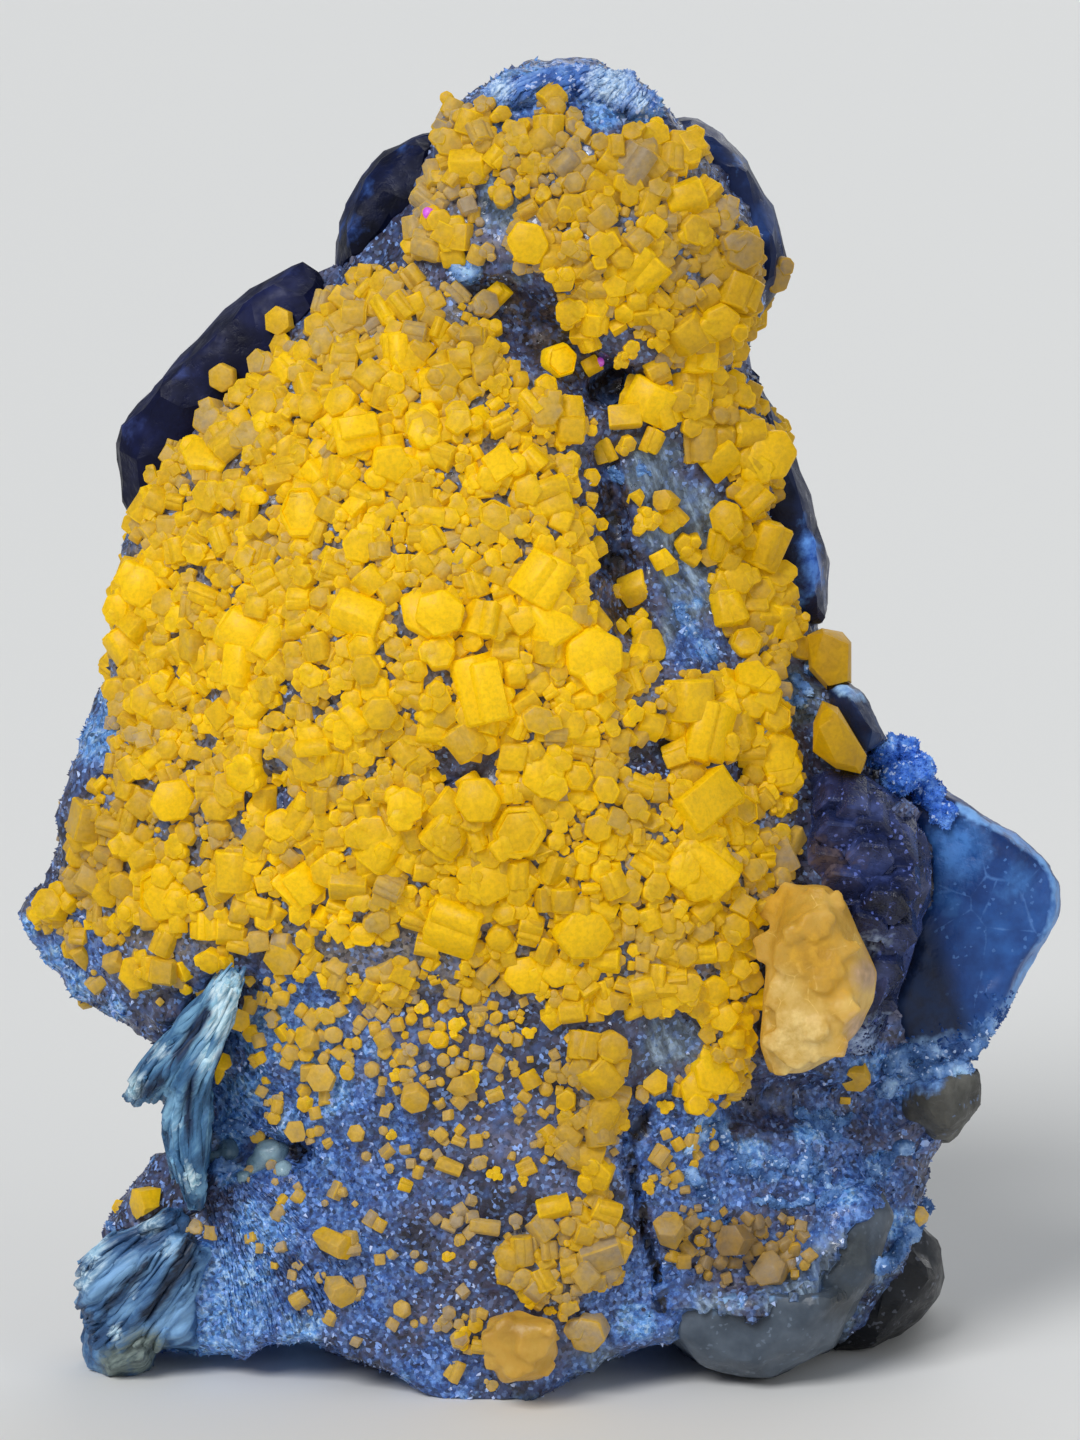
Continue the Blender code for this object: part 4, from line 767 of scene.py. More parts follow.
    "colours": ((152, 134, 106), (180, 148, 70), (194, 154, 28), (212, 170, 8), (228, 184, 0)),
    "dimmed": (190, 180, 166),
    "pieces": (("apatiteFoot", ["apatite_vein"]), ("apatiteLower", []), ("apatiteMiddle", []),
               ("apatiteUpper", ["apatite_crust"])),
}


def crystalShape(prisms, rim, wobble, seed, edges=0.12, step=0.0):
    # prisms that have grown together, each as sides, radius, height, place and turn
    bpy.ops.object.select_all(action="DESELECT")
    for sides, radius, height, place, turn in prisms:
        if bpy.context.mode == "EDIT_MESH":
            bpy.ops.mesh.select_all(action="DESELECT")
        bpy.ops.mesh.primitive_cylinder_add(vertices=sides, radius=radius, depth=height,
                                            end_fill_type="NGON", location=place, rotation=turn)
        bpy.ops.object.mode_set(mode="EDIT")
    shape = bpy.context.object
    editEnd()
    bpy.ops.object.transform_apply(location=True, rotation=True)
    editStart(shape)
    if step:  # a growth step on the end face
        selectParts(shape, "FACE", lambda face: face.normal.z > 0.9)
        bpy.ops.mesh.inset(thickness=step, depth=0)
        bpy.ops.mesh.extrude_region_move(TRANSFORM_OT_translate={"value": (step * 0.4, 0, step * 0.4)})
    selectParts(shape, "FACE", lambda face: abs(face.normal.z) > 0.9)
    bpy.ops.mesh.bevel(offset=rim, segments=1, affect="EDGES")

    def upright(edge):
        first, last = (shape.data.vertices[i].co for i in edge.vertices)
        return abs((first - last).normalized().z) > 0.8
    selectParts(shape, "EDGE", upright)
    bpy.ops.mesh.bevel(offset=edges, segments=1, affect="EDGES")
    bpy.ops.mesh.select_all(action="SELECT")
    bpy.ops.transform.vertex_random(offset=wobble, seed=seed)
    editEnd()
    # the small bevel faces are marked for a painted highlight
    largest = max(face.area for face in shape.data.polygons)
    return taken(shape, [1.0 if face.area < 0.12 * largest else 0.0 for face in shape.data.polygons])


def taken(shape, rimHighlights):  # the places, faces and highlighted rim faces of a shape that many copies are made of
    made = (pointsOf(shape), [tuple(face.vertices) for face in shape.data.polygons], rimHighlights)
    bpy.data.objects.remove(shape)
    return made


def crystalShapes():
    flat = (0, 0, 0)
    small = [crystalShape([(sides, radius, height, flat, flat)], rim, wobble, seed + 1, edges)
             for seed, (sides, radius, height, rim, wobble, edges) in enumerate(crystalLook["small"])]
    large = [crystalShape([(6, 1, 1.7, flat, flat)], 0.10, 0.05, 7, 0.12),
             crystalShape([(6, 1, 1.6, flat, flat)], 0.10, 0.06, 9, 0.12, 0.16),
             crystalShape([(6, 0.95, 1.7, flat, flat), (6, 0.6, 1.5, (0.5, 0.2, 0.1), (0.1, 0.2, 0.3))],
                          0.10, 0.05, 8, 0.10)]
    for seed in range(12, 23):  # irregular blocks grown side by side
        rng = random.Random(seed)
        prisms = [(rng.choice((6, 6, 5, 4)), rng.uniform(0.7, 0.9), rng.uniform(1.5, 1.7),
                   (rng.uniform(-0.2, 0.2), rng.uniform(-0.2, 0.2), 0), (0, 0, rng.uniform(0, 1.5)))]
        first = rng.uniform(0, math.tau)
        for index in range(rng.choice((1, 2, 2, 3))):
            way = first + index * rng.uniform(1.6, 2.4)
            prisms.append((rng.choice((6, 4, 5)), rng.uniform(0.4, 0.65), rng.uniform(1.4, 1.8),
                           (0.6 * math.cos(way), 0.6 * math.sin(way), rng.uniform(-0.1, 0.08)),
                           (rng.uniform(-0.1, 0.1), rng.uniform(-0.1, 0.1), rng.uniform(0, 1.5))))
        large.append(crystalShape(prisms, 0.09, 0.05, seed, 0.10))
    return small, large


# One mesh out of many copies, each given as shape, matrix and tone
def joinCopies(name, shapes, copies, seed=1, dims=None):
    chance = np.random.default_rng(seed)
    allPlaces, allFaces, tones = [], [], []
    start = 0
    for kind, turn, tone in copies:
        places, faces, rimHighlights = shapes[kind]
        turned = np.array(turn)
        allPlaces.append(places @ turned[:3, :3].T + turned[:3, 3])
        allFaces += [tuple(i + start for i in face) for face in faces]
        # rim faces are painted lighter, a painted highlight
        tones.append(tone + chance.uniform(-0.05, 0.05, len(faces)) + 0.2 * np.array(rimHighlights))
        start += len(places)
    mesh = bpy.data.meshes.new(name)
    mesh.from_pydata(np.concatenate(allPlaces).tolist(), [], allFaces)
    piece = newPiece(name, mesh)
    addAttribute(piece, "tone", np.concatenate(tones), "FACE")
    if dims is not None:
        addAttribute(piece, "dim", np.repeat(dims, [len(shapes[copy[0]][1]) for copy in copies]), "FACE")
    return piece


def apatiteFinish():
    material, shader = newMaterial("apatite")
    cloud = noiseNode(material, 500, 5, 0.65)
    fine = noiseNode(material, 2600, 3, 0.6)
    shift = sums(material, "MULTIPLY_ADD", cloud, 0.9, -0.45, clamp=False)
    toned = sums(material, "ADD", attributeNode(material, "tone"), shift)
    base = ramp(material, toned, *((index / 4, tint(*colour))
                                   for index, colour in enumerate(crystalLook["colours"])))
    base = mixed(material, 1.0, base, ramp(material, fine, (0.35, 0.84), (0.6, 1)), "MULTIPLY")
    # darkened by the spots: partly painted shade, partly duller crystals
    base = mixed(material, attributeNode(material, "dim"), base, tint(*crystalLook["dimmed"]), "MULTIPLY")
    # the base colour also glows, a painted glow for the fluorescence
    setSockets(material, shader, Base_Color=base, Emission_Color=base, **crystalLook["surface"],
               Roughness=ramp(material, fine, (0.3, 0.35), (0.7, 0.6)),
               Normal=bumpNode(material, cloud, fine, 0.06 * mm, 0.7))
    return material


def anyWay(rng):
    return Vector((rng.uniform(-1, 1), rng.uniform(-1, 1), rng.uniform(-1, 1)))


def grownOn(foot, out, line, radius, lean, rng, rise, kind="any"):
    # an end face or a side face of the crystal looks outwards, more or less
    outward = (out - line * crystalLook["towards"]).normalized()
    face = (outward + anyWay(rng) * lean).normalized()
    upright = face.to_track_quat("Z", "Y").to_matrix().to_4x4()
    spin = Matrix.Rotation(rng.uniform(0, math.tau), 4, "Z")
    if kind == "side" or (kind == "any" and rng.random() < crystalLook["onSide"]):
        flank = rng.choice((0, math.pi / 6)) + rng.uniform(-0.2, 0.2)
        spin = spin @ Matrix.Rotation(math.pi / 2, 4, "X") @ Matrix.Rotation(flank, 4, "Z")
    size = Matrix.Diagonal((radius * rng.uniform(0.88, 1.12), radius * rng.uniform(0.88, 1.12),
                            radius * rng.uniform(0.85, 1.15), 1))
    return Matrix.Translation(foot + outward * radius * rise) @ upright @ spin @ size


class Spacing:  # keeps copies apart by a share of their sizes
    def __init__(self, cell):
        self.cell = cell
        self.spots = {}

    def free(self, place, radius, share):
        near = [range(int(c // self.cell) - 1, int(c // self.cell) + 2) for c in place]
        return all((other - place).length >= (radius + reach) * share
                   for x in near[0] for y in near[1] for z in near[2]
                   for other, reach in self.spots.get((x, y, z), ()))

    def take(self, place, radius):
        key = tuple(int(c // self.cell) for c in place)
        self.spots.setdefault(key, []).append((place.copy(), radius))


loneNodes = [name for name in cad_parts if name.startswith("apatite_crystal_")]
loneNodes += ["apatite_short_prism", "apatite_boot_crystal"]


def buildLoneCrystals(spacing):
    pieces = []
    chance = random.Random(9)
    for name in loneNodes:
        piece = workingCopy(name, name + "Copy")
        applied(piece, "DECIMATE", decimate_type="DISSOLVE", angle_limit=math.radians(4))
        applied(piece, "BEVEL", width=0.22 * mm, segments=2, limit_method="ANGLE",
                angle_limit=math.radians(25))
        if name[-1].isdigit():  # the real ones sit deeper in the druse
            places = pointsOf(piece)
            middle = places.mean(axis=0)
            movePoints(piece, middle + (places - middle) * crystalLook["loneSize"])
        middle = pointsOf(piece).mean(axis=0)[None, :]
        tone = chance.uniform(0.45, 0.75) - 0.42 * weightAt(crystalLook["duller"], middle)[0]
        faces = len(piece.data.polygons)
        addAttribute(piece, "tone", [tone + chance.uniform(-0.05, 0.05) for _ in range(faces)], "FACE")
        # darkening of the lone crystal: partly painted shade, partly duller colour
        addAttribute(piece, "dim", np.full(faces, weightAt(crystalLook["dimmer"], middle)[0]), "FACE")
        pieces.append(piece)
        low, high = (np.array(corner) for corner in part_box(name))
        spacing.take(Vector((low + high) / 2), (high - low).max() / 2 * 0.8)
    finishPiece(joined(pieces, "loneCrystals"), apatiteMaterial, "apatite", *loneNodes, smooth=44)


def placedCrystals(tree, spacing, rng):
    copies = []
    small, kinds = len(smallShapes), len(smallShapes + largeShapes)
    for name, usual, way, lean in crystalLook["kinds"]:
        for across, down, half in crystalLook[name]:
            foot, out, line = spotOn(tree, across, down)
            low = down > 960 and not 560 < across < 700
            corner = across > 652 and down > 1170
            big = half > crystalLook["big"]
            radius = half * view["unit"] * (crystalLook["lowSize"] if low else 1)
            radius *= crystalLook["cornerSize"] if corner else 1
            rise = rng.uniform(*crystalLook["rise"]) - (crystalLook["sunk"] if low or big else 0)
            radius *= crystalLook["bigSize"] if big else 1
            turn = grownOn(foot, out, line, radius, lean, rng, rise, way)
            tone = usual + rng.uniform(-0.12, 0.12)
            copies.append((rng.randrange(small, small + 3 if name == "facing" else kinds), turn, tone))
            spacing.take(foot, radius * crystalLook["room"])
    return copies


def fillCrystals(rock, spacing, rng):  # between the placed ones, thinned out and with gaps
    copies = []
    small, kinds = len(smallShapes), len(smallShapes + largeShapes)
    clump, level = crystalLook["gap"]
    for name, count, low, high, share, usual, varied, blocky in crystalLook["fill"]:
        places, ways = surfacePoints(rock, count * 14, len(name))
        across, down = seenAt(places)
        bald = zoneWeight(crystalLook["thinned"], across, down)
        added = 0
        for place, way, depth, facing, thin in zip(places, ways, fieldDepth(across, down),
                                                   ways @ viewBack, bald):
            radius = rng.uniform(low, high) * view["unit"]
            spot = Vector(place)
            sway = noise.noise(spot / clump)
            depth -= crystalLook["soft"] * max(0, sway + 0.2)
            if depth < radius / view["unit"] * 0.5 or facing > 0.25 or added >= count:
                continue
            if sway > level - 0.9 * thin or not spacing.free(spot, radius, share):
                continue
            turn = grownOn(spot, Vector(way), (spot - Vector(viewEye)).normalized(), radius,
                           crystalLook["lean"], rng, rng.uniform(*crystalLook["rise"]))
            tone = min(0.9, max(0.05, rng.gauss(usual, varied)))
            copies.append((rng.randrange(kinds if rng.random() < blocky else small), turn, tone))
            spacing.take(spot, radius)
            added += 1
        print("fill", name, added)
    return copies


def bunchedCrystals(tree, spacing, rng):  # small bunches on the lower druse
    copies = []
    count, reach, share = crystalLook["clusters"]
    outlines = crystalLook["clustersIn"]
    for _ in range(count):
        outline = rng.choices(outlines, crystalLook["clusterShares"])[0]
        middle = [rng.uniform(min(ends), max(ends)) for ends in zip(*outline)]
        for _ in range(rng.randint(1, 6)):
            across, down = middle[0] + rng.gauss(0, reach), middle[1] + rng.gauss(0, reach * 0.7)
            spot = np.array([across]), np.array([down])
            if depthInside(outline, *spot)[0] < 0 or zoneWeight(zones["dark"], *spot)[0] > 0:
                continue
            foot, out, line = spotOn(tree, across, down)
            radius = rng.uniform(3.6, 11 if outline is outlines[-1] else 8.5) * view["unit"]
            if foot is None or not spacing.free(foot, radius, share):
                continue
            turn = grownOn(foot, out, line, radius, 0.4, rng, rng.uniform(-0.3, 0.15))
            copies.append((rng.randrange(len(smallShapes)), turn, rng.uniform(0.3, 0.55)))
            spacing.take(foot, radius)
    return copies


def strayCrystals(rock, seamTree, spacing, rng):  # a few on the faces turned away
    copies = []
    count, low, high = crystalLook["stray"]
    places, ways = surfacePoints(rock, count, 31)
    clear = clearOf(seamTree, places, 1.6 * mm)
    for place, way in zip(places[clear], ways[clear]):
        spot, out = Vector(place), Vector(way)
        radius = rng.uniform(low, high) * view["unit"]
        if way @ viewBack > 0.1 and 8 * mm < place[2] < 108 * mm and spacing.free(spot, radius, 1):
            turn = grownOn(spot, out, -out, radius, 0.5, rng, rng.uniform(0, 0.5))
            copies.append((rng.randrange(len(smallShapes)), turn, rng.uniform(0.1, 0.8)))
            spacing.take(spot, radius)
    return copies


def buildCrystals(rock, tree, seamTree, spacing):
    rng = random.Random(crystalLook["seed"])
    copies = placedCrystals(tree, spacing, rng) + fillCrystals(rock, spacing, rng)
    copies += bunchedCrystals(tree, spacing, rng) + strayCrystals(rock, seamTree, spacing, rng)
    copies = [copy for copy in copies if copy[1].translation.z > copy[1].median_scale * 1.3]
    feet = np.array([copy[1].translation for copy in copies])
    floor, brighter, duller = crystalLook["retoned"]
    copies = [(kind, turn, max(floor, tone + brighter * more - duller * less))
              for (kind, turn, tone), more, less in zip(copies, weightAt(crystalLook["brighter"], feet),
                                                        weightAt(crystalLook["duller"], feet))]
    copies.sort(key=lambda copy: copy[1].translation.z)
    share = len(copies) // len(crystalLook["pieces"]) + 1
    for index, (name, nodes) in enumerate(crystalLook["pieces"]):
        part = copies[index * share:(index + 1) * share]
        dims = weightAt(crystalLook["dimmer"], np.array([copy[1].translation for copy in part]))
        piece = joinCopies(name, smallShapes + largeShapes, part, index, dims)
        finishPiece(piece, apatiteMaterial, "apatite", *nodes, smooth=52)


# Other stones: smooth or broken quartz, mica, and the cloudy apatite masses

usualLook = {"voxel": 0.42, "soften": 1, "smooth": 50, "rough": (0.35, 0.6), "bump": 0.2, "shine": 0.3,
             "clear": 0.0, "coat": 0.0, "glow": 0.0, "zones": {},  # each with two colours and its spots
             "surface": {"IOR": 1.54, "Coat_Roughness": 0.08, "Subsurface_Scale": 1.2 * mm,
                         "Subsurface_Radius": (1.0, 0.8, 0.5)}}


def mineralFinish(name, look):
    material, shader = newMaterial(name)
    place = drawnOut(material, *look["fibres"]) if "fibres" in look else placeNodes(material)
    broad = noiseNode(material, look["scale"], 5, 0.6, place)
    fine = noiseNode(material, look["scale"] * 6, 4, 0.6, place)
    base = threeTones(material, broad, look["colours"], 0.18)
    base = mixed(material, product(material, fine, 0.5), base, tint(*look["colours"][1]), "OVERLAY")
    if "veins" in look:
        colour, scale, width = look["veins"]
        edges = cellNode(material, scale, "DISTANCE_TO_EDGE", "Distance")
        veinOn = ramp(material, sums(material, "ADD", edges, product(material, fine, 0.08)),
                      (0.03, 1), (0.03 + width, 0))
        base = mixed(material, product(material, veinOn, 0.7), base, tint(*colour))
    # light flecks: painted glints of sparkle
    if "flecks" in look:
        colour, scale, share = look["flecks"]
        paintedGlintOn = sums(material, "GREATER_THAN", cellChances(material, scale)["Green"], 1 - share)
        base = mixed(material, product(material, paintedGlintOn, 0.75), base, tint(*colour))
    for zone, (low, high, _, *ends) in look["zones"].items():
        start, full = ends or (0.55, 0.95)
        zoneOn = ramp(material, sums(material, "ADD", attributeNode(material, zone),
                                     product(material, fine, 0.7)), (start, 0), (full, 1))
        base = mixed(material, zoneOn, base, ramp(material, fine, (0.35, tint(*low)), (0.65, tint(*high))))
    setSockets(material, shader, Base_Color=base, Specular_IOR_Level=look["shine"], **look["surface"],
               Roughness=ramp(material, fine, (0.35, look["rough"][0]), (0.65, look["rough"][1])),
               Normal=bumpNode(material, broad, fine, look["bump"] * mm, 0.8),
               Transmission_Weight=look["clear"], Coat_Weight=look["coat"],
               Subsurface_Weight=look["glow"])
    # emission of the base colour: a painted glow
    if "lit" in look:
        setSockets(material, shader, Emission_Color=base, Emission_Strength=look["lit"])
    return material


def dressMineral(piece, own, slot, *nodes):
    look = {**usualLook, **own}
    for kind, size, height in look["relief"]:
        roughen(piece, kind, size * mm, height * mm)
    if "furrows" in look:
        furrow(piece, *look["furrows"])
    if "facets" in look:
        applied(piece, "DECIMATE", ratio=look["facets"])
    if "blocks" in look:
        addBlocks(piece, look["blocks"])
    across, down = seenAt(liftToGround(piece))
    shown = np.clip((0.02 - normalsOf(piece)[:, 1]) * 3.5, 0, 1)
    for zone, (_, _, spots, *_) in look["zones"].items():
        addAttribute(piece, zone, zoneWeight(spots, across, down, shown))
    finishPiece(piece, mineralFinish(piece.name + "Finish", look), slot, *nodes, smooth=look["smooth"])
    return piece


def buildStone(name, slot, nodes, own):
    look = {**usualLook, **own}
    piece = joined([workingCopy(node, node + "Copy") for node in nodes], name)
    remesh(piece, look["voxel"] * mm)
    if look["soften"]:
        applied(piece, "SMOOTH", factor=0.5, iterations=look["soften"])
    if "swell" in look:
        pushOut(piece, look["swell"] * mm)
    return dressMineral(piece, own, slot, *nodes)


def addBlocks(piece, spots):  # blocky crystals that show in a pale mass, softened into it
    rng = random.Random(17)
    tree = treeOf(piece)
    copies = []
    for across, down, half in spots:
        foot, out, line = spotOn(tree, across, down)
        if foot is None:
            continue
        rise = rng.uniform(-0.72, -0.6) if half > 12 else rng.uniform(-0.4, 0.0)
        turn = grownOn(foot, out, line, half * view["unit"], 0.12, rng, rise, "end" if half > 12 else "any")
        copies.append((rng.randrange(3, len(largeShapes)), turn, 0.3))
    joined([piece, joinCopies("blocks", largeShapes, copies)], piece.name)
    remesh(piece, 0.26 * mm)
    applied(piece, "SMOOTH", factor=0.5, iterations=3)


def furrow(piece, degrees, pitch, length, height):  # fine ridges along one way on the front
    angle = math.radians(degrees)
    along = np.array([math.sin(angle), 0, math.cos(angle)])
    side = np.array([math.cos(angle), 0, -math.sin(angle)])
    moves = [noise.noise(Vector((point @ side / pitch, point[1] / pitch, point @ along / length)))
             for point in pointsOf(piece) / mm]
    pushOut(piece, np.array(moves) * height * mm)


stones = (
    ("smokyBehindKnob", "smoky_quartz", ["smoky_quartz_upper_left"],
     {"scale": 160, "colours": ((5, 9, 30), (12, 23, 62), (32, 54, 116)), "shine": 0.12,
      "relief": (("CLOUDS", 5, 0.5), ("VORONOI", 3.4, 0.9)), "facets": 0.05, "smooth": 20,
      "zones": {"gleam": ((28, 52, 110), (56, 88, 156),
                          [(345, 230, 14, 0.8), (360, 190, 14, 0.6), (400, 150, 12, 0.6)])}}),
    ("smokyLeftSlabs", "smoky_quartz", ["smoky_quartz_left"],
     {"scale": 140, "colours": ((6, 7, 26), (15, 20, 54), (34, 42, 92)), "shine": 0.12,
      "relief": (("CLOUDS", 6, 0.5), ("VORONOI", 4, 0.9)), "facets": 0.04, "smooth": 20,
      "zones": {"gleam": ((36, 46, 96), (58, 72, 130),
                          [(130, 430, 14, 0.7), (180, 370, 12, 0.6), (290, 270, 10, 0.6)])}}),
    ("smokyRightLobes", "smoky_quartz", ["smoky_quartz_right_knob", "smoky_quartz_right_flank"],
     {"scale": 150, "colours": ((10, 18, 44), (24, 42, 86), (58, 92, 160)), "rough": (0.25, 0.5),
      "shine": 0.2, "relief": (("CLOUDS", 5, 0.4), ("VORONOI", 3.6, 0.9)), "facets": 0.05, "smooth": 20,
      "zones": {"gleam": ((44, 88, 176), (96, 150, 228),
                          [(810, 545, 15, 0.9), (812, 578, 15, 1), (800, 604, 10, 0.6), (798, 520, 10, 0.6),
                           (742, 160, 10, 0.5), (700, 128, 8, 0.5)])}}),
    ("smokyLowerLobe", "smoky_quartz", ["smoky_quartz_lower_right"],
     {"scale": 150, "colours": ((14, 16, 21), (28, 31, 38), (50, 55, 64)), "rough": (0.25, 0.5),
      "flecks": ((92, 96, 108), 3400, 0.03), "relief": (("CLOUDS", 5, 0.9), ("VORONOI", 3.6, 1.0)),
      "facets": 0.07, "smooth": 28}),
    ("violetCrystal", "violet_quartz", ["violet_quartz_crystal"],
     {"scale": 240, "colours": ((14, 19, 42), (38, 49, 92), (84, 100, 160)), "rough": (0.15, 0.4),
      "bump": 0.4, "coat": 0.1, "flecks": ((104, 122, 200), 3400, 0.035),
      "veins": ((78, 92, 160), 520, 0.016), "soften": 0,
      "relief": (("CLOUDS", 6, 1.4), ("VORONOI", 5.5, 1.3), ("CLOUDS", 1.6, 0.6)), "facets": 0.05,
      "smooth": 12,
      "zones": {"brown": ((54, 46, 52), (92, 80, 86), [(828, 858, 24, 0.8), (815, 880, 18, 0.5)]),
                "sugar": ((70, 90, 130), (160, 180, 214),
                          [(868, 942, 16, 0.8), (862, 1045, 20, 0.9), (880, 1020, 12, 0.6)])}}),
    ("blueSlab", "blue_quartz", ["blue_quartz_slab"],
     {"scale": 90, "colours": ((14, 42, 92), (28, 72, 138), (52, 108, 180)), "bump": 0.35,
      "flecks": ((74, 118, 184), 3600, 0.03), "veins": ((78, 122, 186), 130, 0.02), "voxel": 0.45,
      "relief": (("CLOUDS", 7, 1.0), ("VORONOI", 5, 0.9), ("CLOUDS", 1.4, 0.3)),
      "zones": {"shade": ((12, 26, 54), (26, 48, 86),
                          alongLine(8, 27, 1.1, (904, 936), (916, 970), (930, 1005), (942, 1034),
                                    (912, 1036), (898, 1000), (896, 960))
                          + alongLine(8, 15, 0.7, (918, 850), (920, 890), (916, 930)), 0.3, 1.15),
                "sheen": ((40, 92, 162), (68, 124, 196),
                          [(955, 850, 36, 0.7), (1015, 880, 26, 0.5), (945, 895, 22, 0.5)]),
                # edge: a painted highlight along the slab's right edge
                "edge": ((74, 122, 190), (122, 172, 232),
                         alongLine(6, 6, 0.9, (960, 808), (1010, 832), (1048, 862), (1058, 890),
                                   (1052, 925), (1030, 965), (1005, 1010))),
                "sugar": ((50, 94, 166), (150, 192, 240),
                          [(960, 1062, 30, 1), (915, 1072, 30, 1), (1000, 1018, 14, 0.7),
                           (985, 1050, 20, 0.9)])}}),
    ("blueLump", "blue_quartz", ["blue_quartz_lump"],
     {"scale": 150, "colours": ((14, 28, 60), (28, 48, 90), (54, 86, 140)), "rough": (0.3, 0.55),
      "voxel": 0.35, "relief": (("CLOUDS", 4, 0.5), ("VORONOI", 2.6, 0.5)), "facets": 0.2, "smooth": 26,
      "zones": {"sugar": ((84, 132, 200), (160, 200, 242), [(846, 682, 14, 1), (858, 690, 12, 0.8)])}}),
    ("greyLump", "grey_quartz", ["grey_quartz_lump"],
     {"scale": 180, "colours": ((58, 58, 56), (88, 88, 84), (124, 124, 118)), "rough": (0.4, 0.65),
      "bump": 0.3, "flecks": ((100, 118, 150), 3400, 0.04), "voxel": 0.35,
      "relief": (("CLOUDS", 3.5, 1.0), ("VORONOI", 2.4, 0.9)), "facets": 0.2, "smooth": 30,
      "zones": {"sugar": ((50, 92, 164), (124, 170, 230), [(930, 1078, 16, 0.9), (905, 1085, 14, 0.9)])}}),
    ("clearRim", "clear_quartz", ["clear_quartz_rim"],
     {"scale": 110, "colours": ((54, 64, 76), (78, 90, 104), (112, 124, 138)), "rough": (0.3, 0.55),
      "bump": 0.25, "clear": 0.15, "flecks": ((104, 118, 136), 3400, 0.03), "voxel": 0.4, "swell": 0.4,
      "relief": (("CLOUDS", 8, 1.2), ("VORONOI", 5, 1.0), ("CLOUDS", 1.4, 0.3)), "facets": 0.2,
      "smooth": 30,
      "zones": {"sugar": ((66, 110, 176), (140, 186, 234),
                          alongLine(10, 14, 0.55, (664, 1296), (700, 1292), (745, 1302), (786, 1286),
                                    (816, 1262), (836, 1230), (860, 1200))
                          + [(815, 1290, 8, 0.9)]),
                "deep": ((40, 46, 52), (66, 74, 80), [(850, 1250, 26, 0.8), (840, 1300, 24, 0.7)])}}),
    ("micaCap", "pale_mica", ["mica_cap"],
     {"scale": 420, "colours": ((46, 80, 146), (88, 132, 196), (160, 194, 236)), "rough": (0.4, 0.65),
      "bump": 0.3, "flecks": ((200, 215, 250), 3200, 0.12), "voxel": 0.3, "swell": 0.5,
      "relief": (("CLOUDS", 2.4, 0.8), ("VORONOI", 1.2, 0.5)),
      # bright: painted highlights on the cap
      "zones": {"bright": ((120, 164, 214), (206, 226, 248),
                           [(500, 88, 16, 0.7), (610, 84, 24, 0.9), (640, 100, 12, 0.7),
                            (605, 118, 12, 0.6)]),
                "deep": ((30, 44, 80), (60, 84, 130),
                         [(545, 90, 14, 0.5), (626, 112, 10, 0.6), (520, 100, 10, 0.5)])}}),
    ("micaBladeUpper", "pale_mica", ["mica_blade_upper"],
     {"scale": 420, "colours": ((24, 52, 84), (72, 118, 156), (150, 198, 222)), "bump": 0.3,
      "fibres": (222, 6), "voxel": 0.34, "relief": (("CLOUDS", 3, 0.5),), "furrows": (222, 0.8, 6, 0.45),
      # bright: painted highlights on the crest of the blade
      "zones": {"bright": ((136, 188, 212), (220, 240, 248),
                           [(230, 992, 18, 1), (218, 1026, 16, 0.9), (206, 1060, 14, 0.7),
                            (134, 1088, 12, 0.8), (160, 1050, 12, 0.5), (192, 1180, 12, 0.8),
                            (176, 1120, 10, 0.5)]),
                "shade": ((10, 20, 38), (36, 60, 96),
                          alongLine(6, 7, 0.9, (208, 1010), (188, 1040), (172, 1066))
                          + alongLine(6, 6, 0.85, (196, 1070), (186, 1104), (190, 1150))
                          + alongLine(6, 8, 0.8, (160, 1080), (140, 1096))
                          + [(222, 1060, 8, 0.8)])}}),
    ("micaBladeLower", "pale_mica", ["mica_blade_lower"],
     {"scale": 420, "colours": ((26, 50, 84), (72, 112, 154), (144, 188, 220)), "bump": 0.3,
      "fibres": (238, 6), "voxel": 0.36, "relief": (("CLOUDS", 3.5, 0.7),), "furrows": (238, 0.9, 7, 0.5),
      # bright: painted highlights on the crest; deep: painted shade in the crevices
      "zones": {"bright": ((128, 176, 208), (212, 234, 246),
                           [(96, 1250, 16, 0.8), (84, 1280, 12, 0.7), (150, 1222, 16, 0.6),
                            (115, 1332, 6, 1), (170, 1250, 14, 0.5), (130, 1290, 12, 0.5)]),
                "shade": ((64, 78, 80), (124, 138, 134), [(142, 1352, 24, 1), (116, 1364, 18, 0.9)]),
                "deep": ((12, 20, 34), (38, 56, 82),
                         alongLine(6, 8, 0.9, (190, 1240), (178, 1266), (160, 1300), (140, 1322))
                         + alongLine(6, 6, 0.8, (150, 1262), (120, 1292), (104, 1310))
                         + [(188, 1262, 10, 0.8)])}}),
    ("paleMass", "pale_apatite", ["apatite_pale_mass"],
     {"scale": 150, "colours": ((166, 132, 46), (186, 152, 66), (206, 178, 104)), "rough": (0.4, 0.6),
      "bump": 0.25, "lit": 0.16, "glow": 0.4, "veins": ((222, 190, 112), 260, 0.014), "voxel": 0.4,
      "relief": (("CLOUDS", 7, 0.6), ("VORONOI", 5, 0.3)),
      "blocks": [(782, 906, 24), (816, 926, 20), (846, 950, 16), (794, 950, 27), (828, 972, 26),
                 (780, 992, 26), (812, 1014, 30), (844, 1010, 20), (788, 1042, 24), (824, 1046, 22),
                 (768, 946, 18), (764, 896, 16), (818, 894, 11), (836, 902, 10), (850, 912, 9),
                 (862, 928, 9), (874, 962, 11), (878, 980, 10), (846, 1064, 11), (780, 1066, 14)],
      "zones": {"rim": ((208, 172, 86), (228, 200, 126),
                        alongLine(8, 9, 0.8, (880, 985), (872, 1030), (852, 1062), (815, 1078),
                                  (780, 1070))),
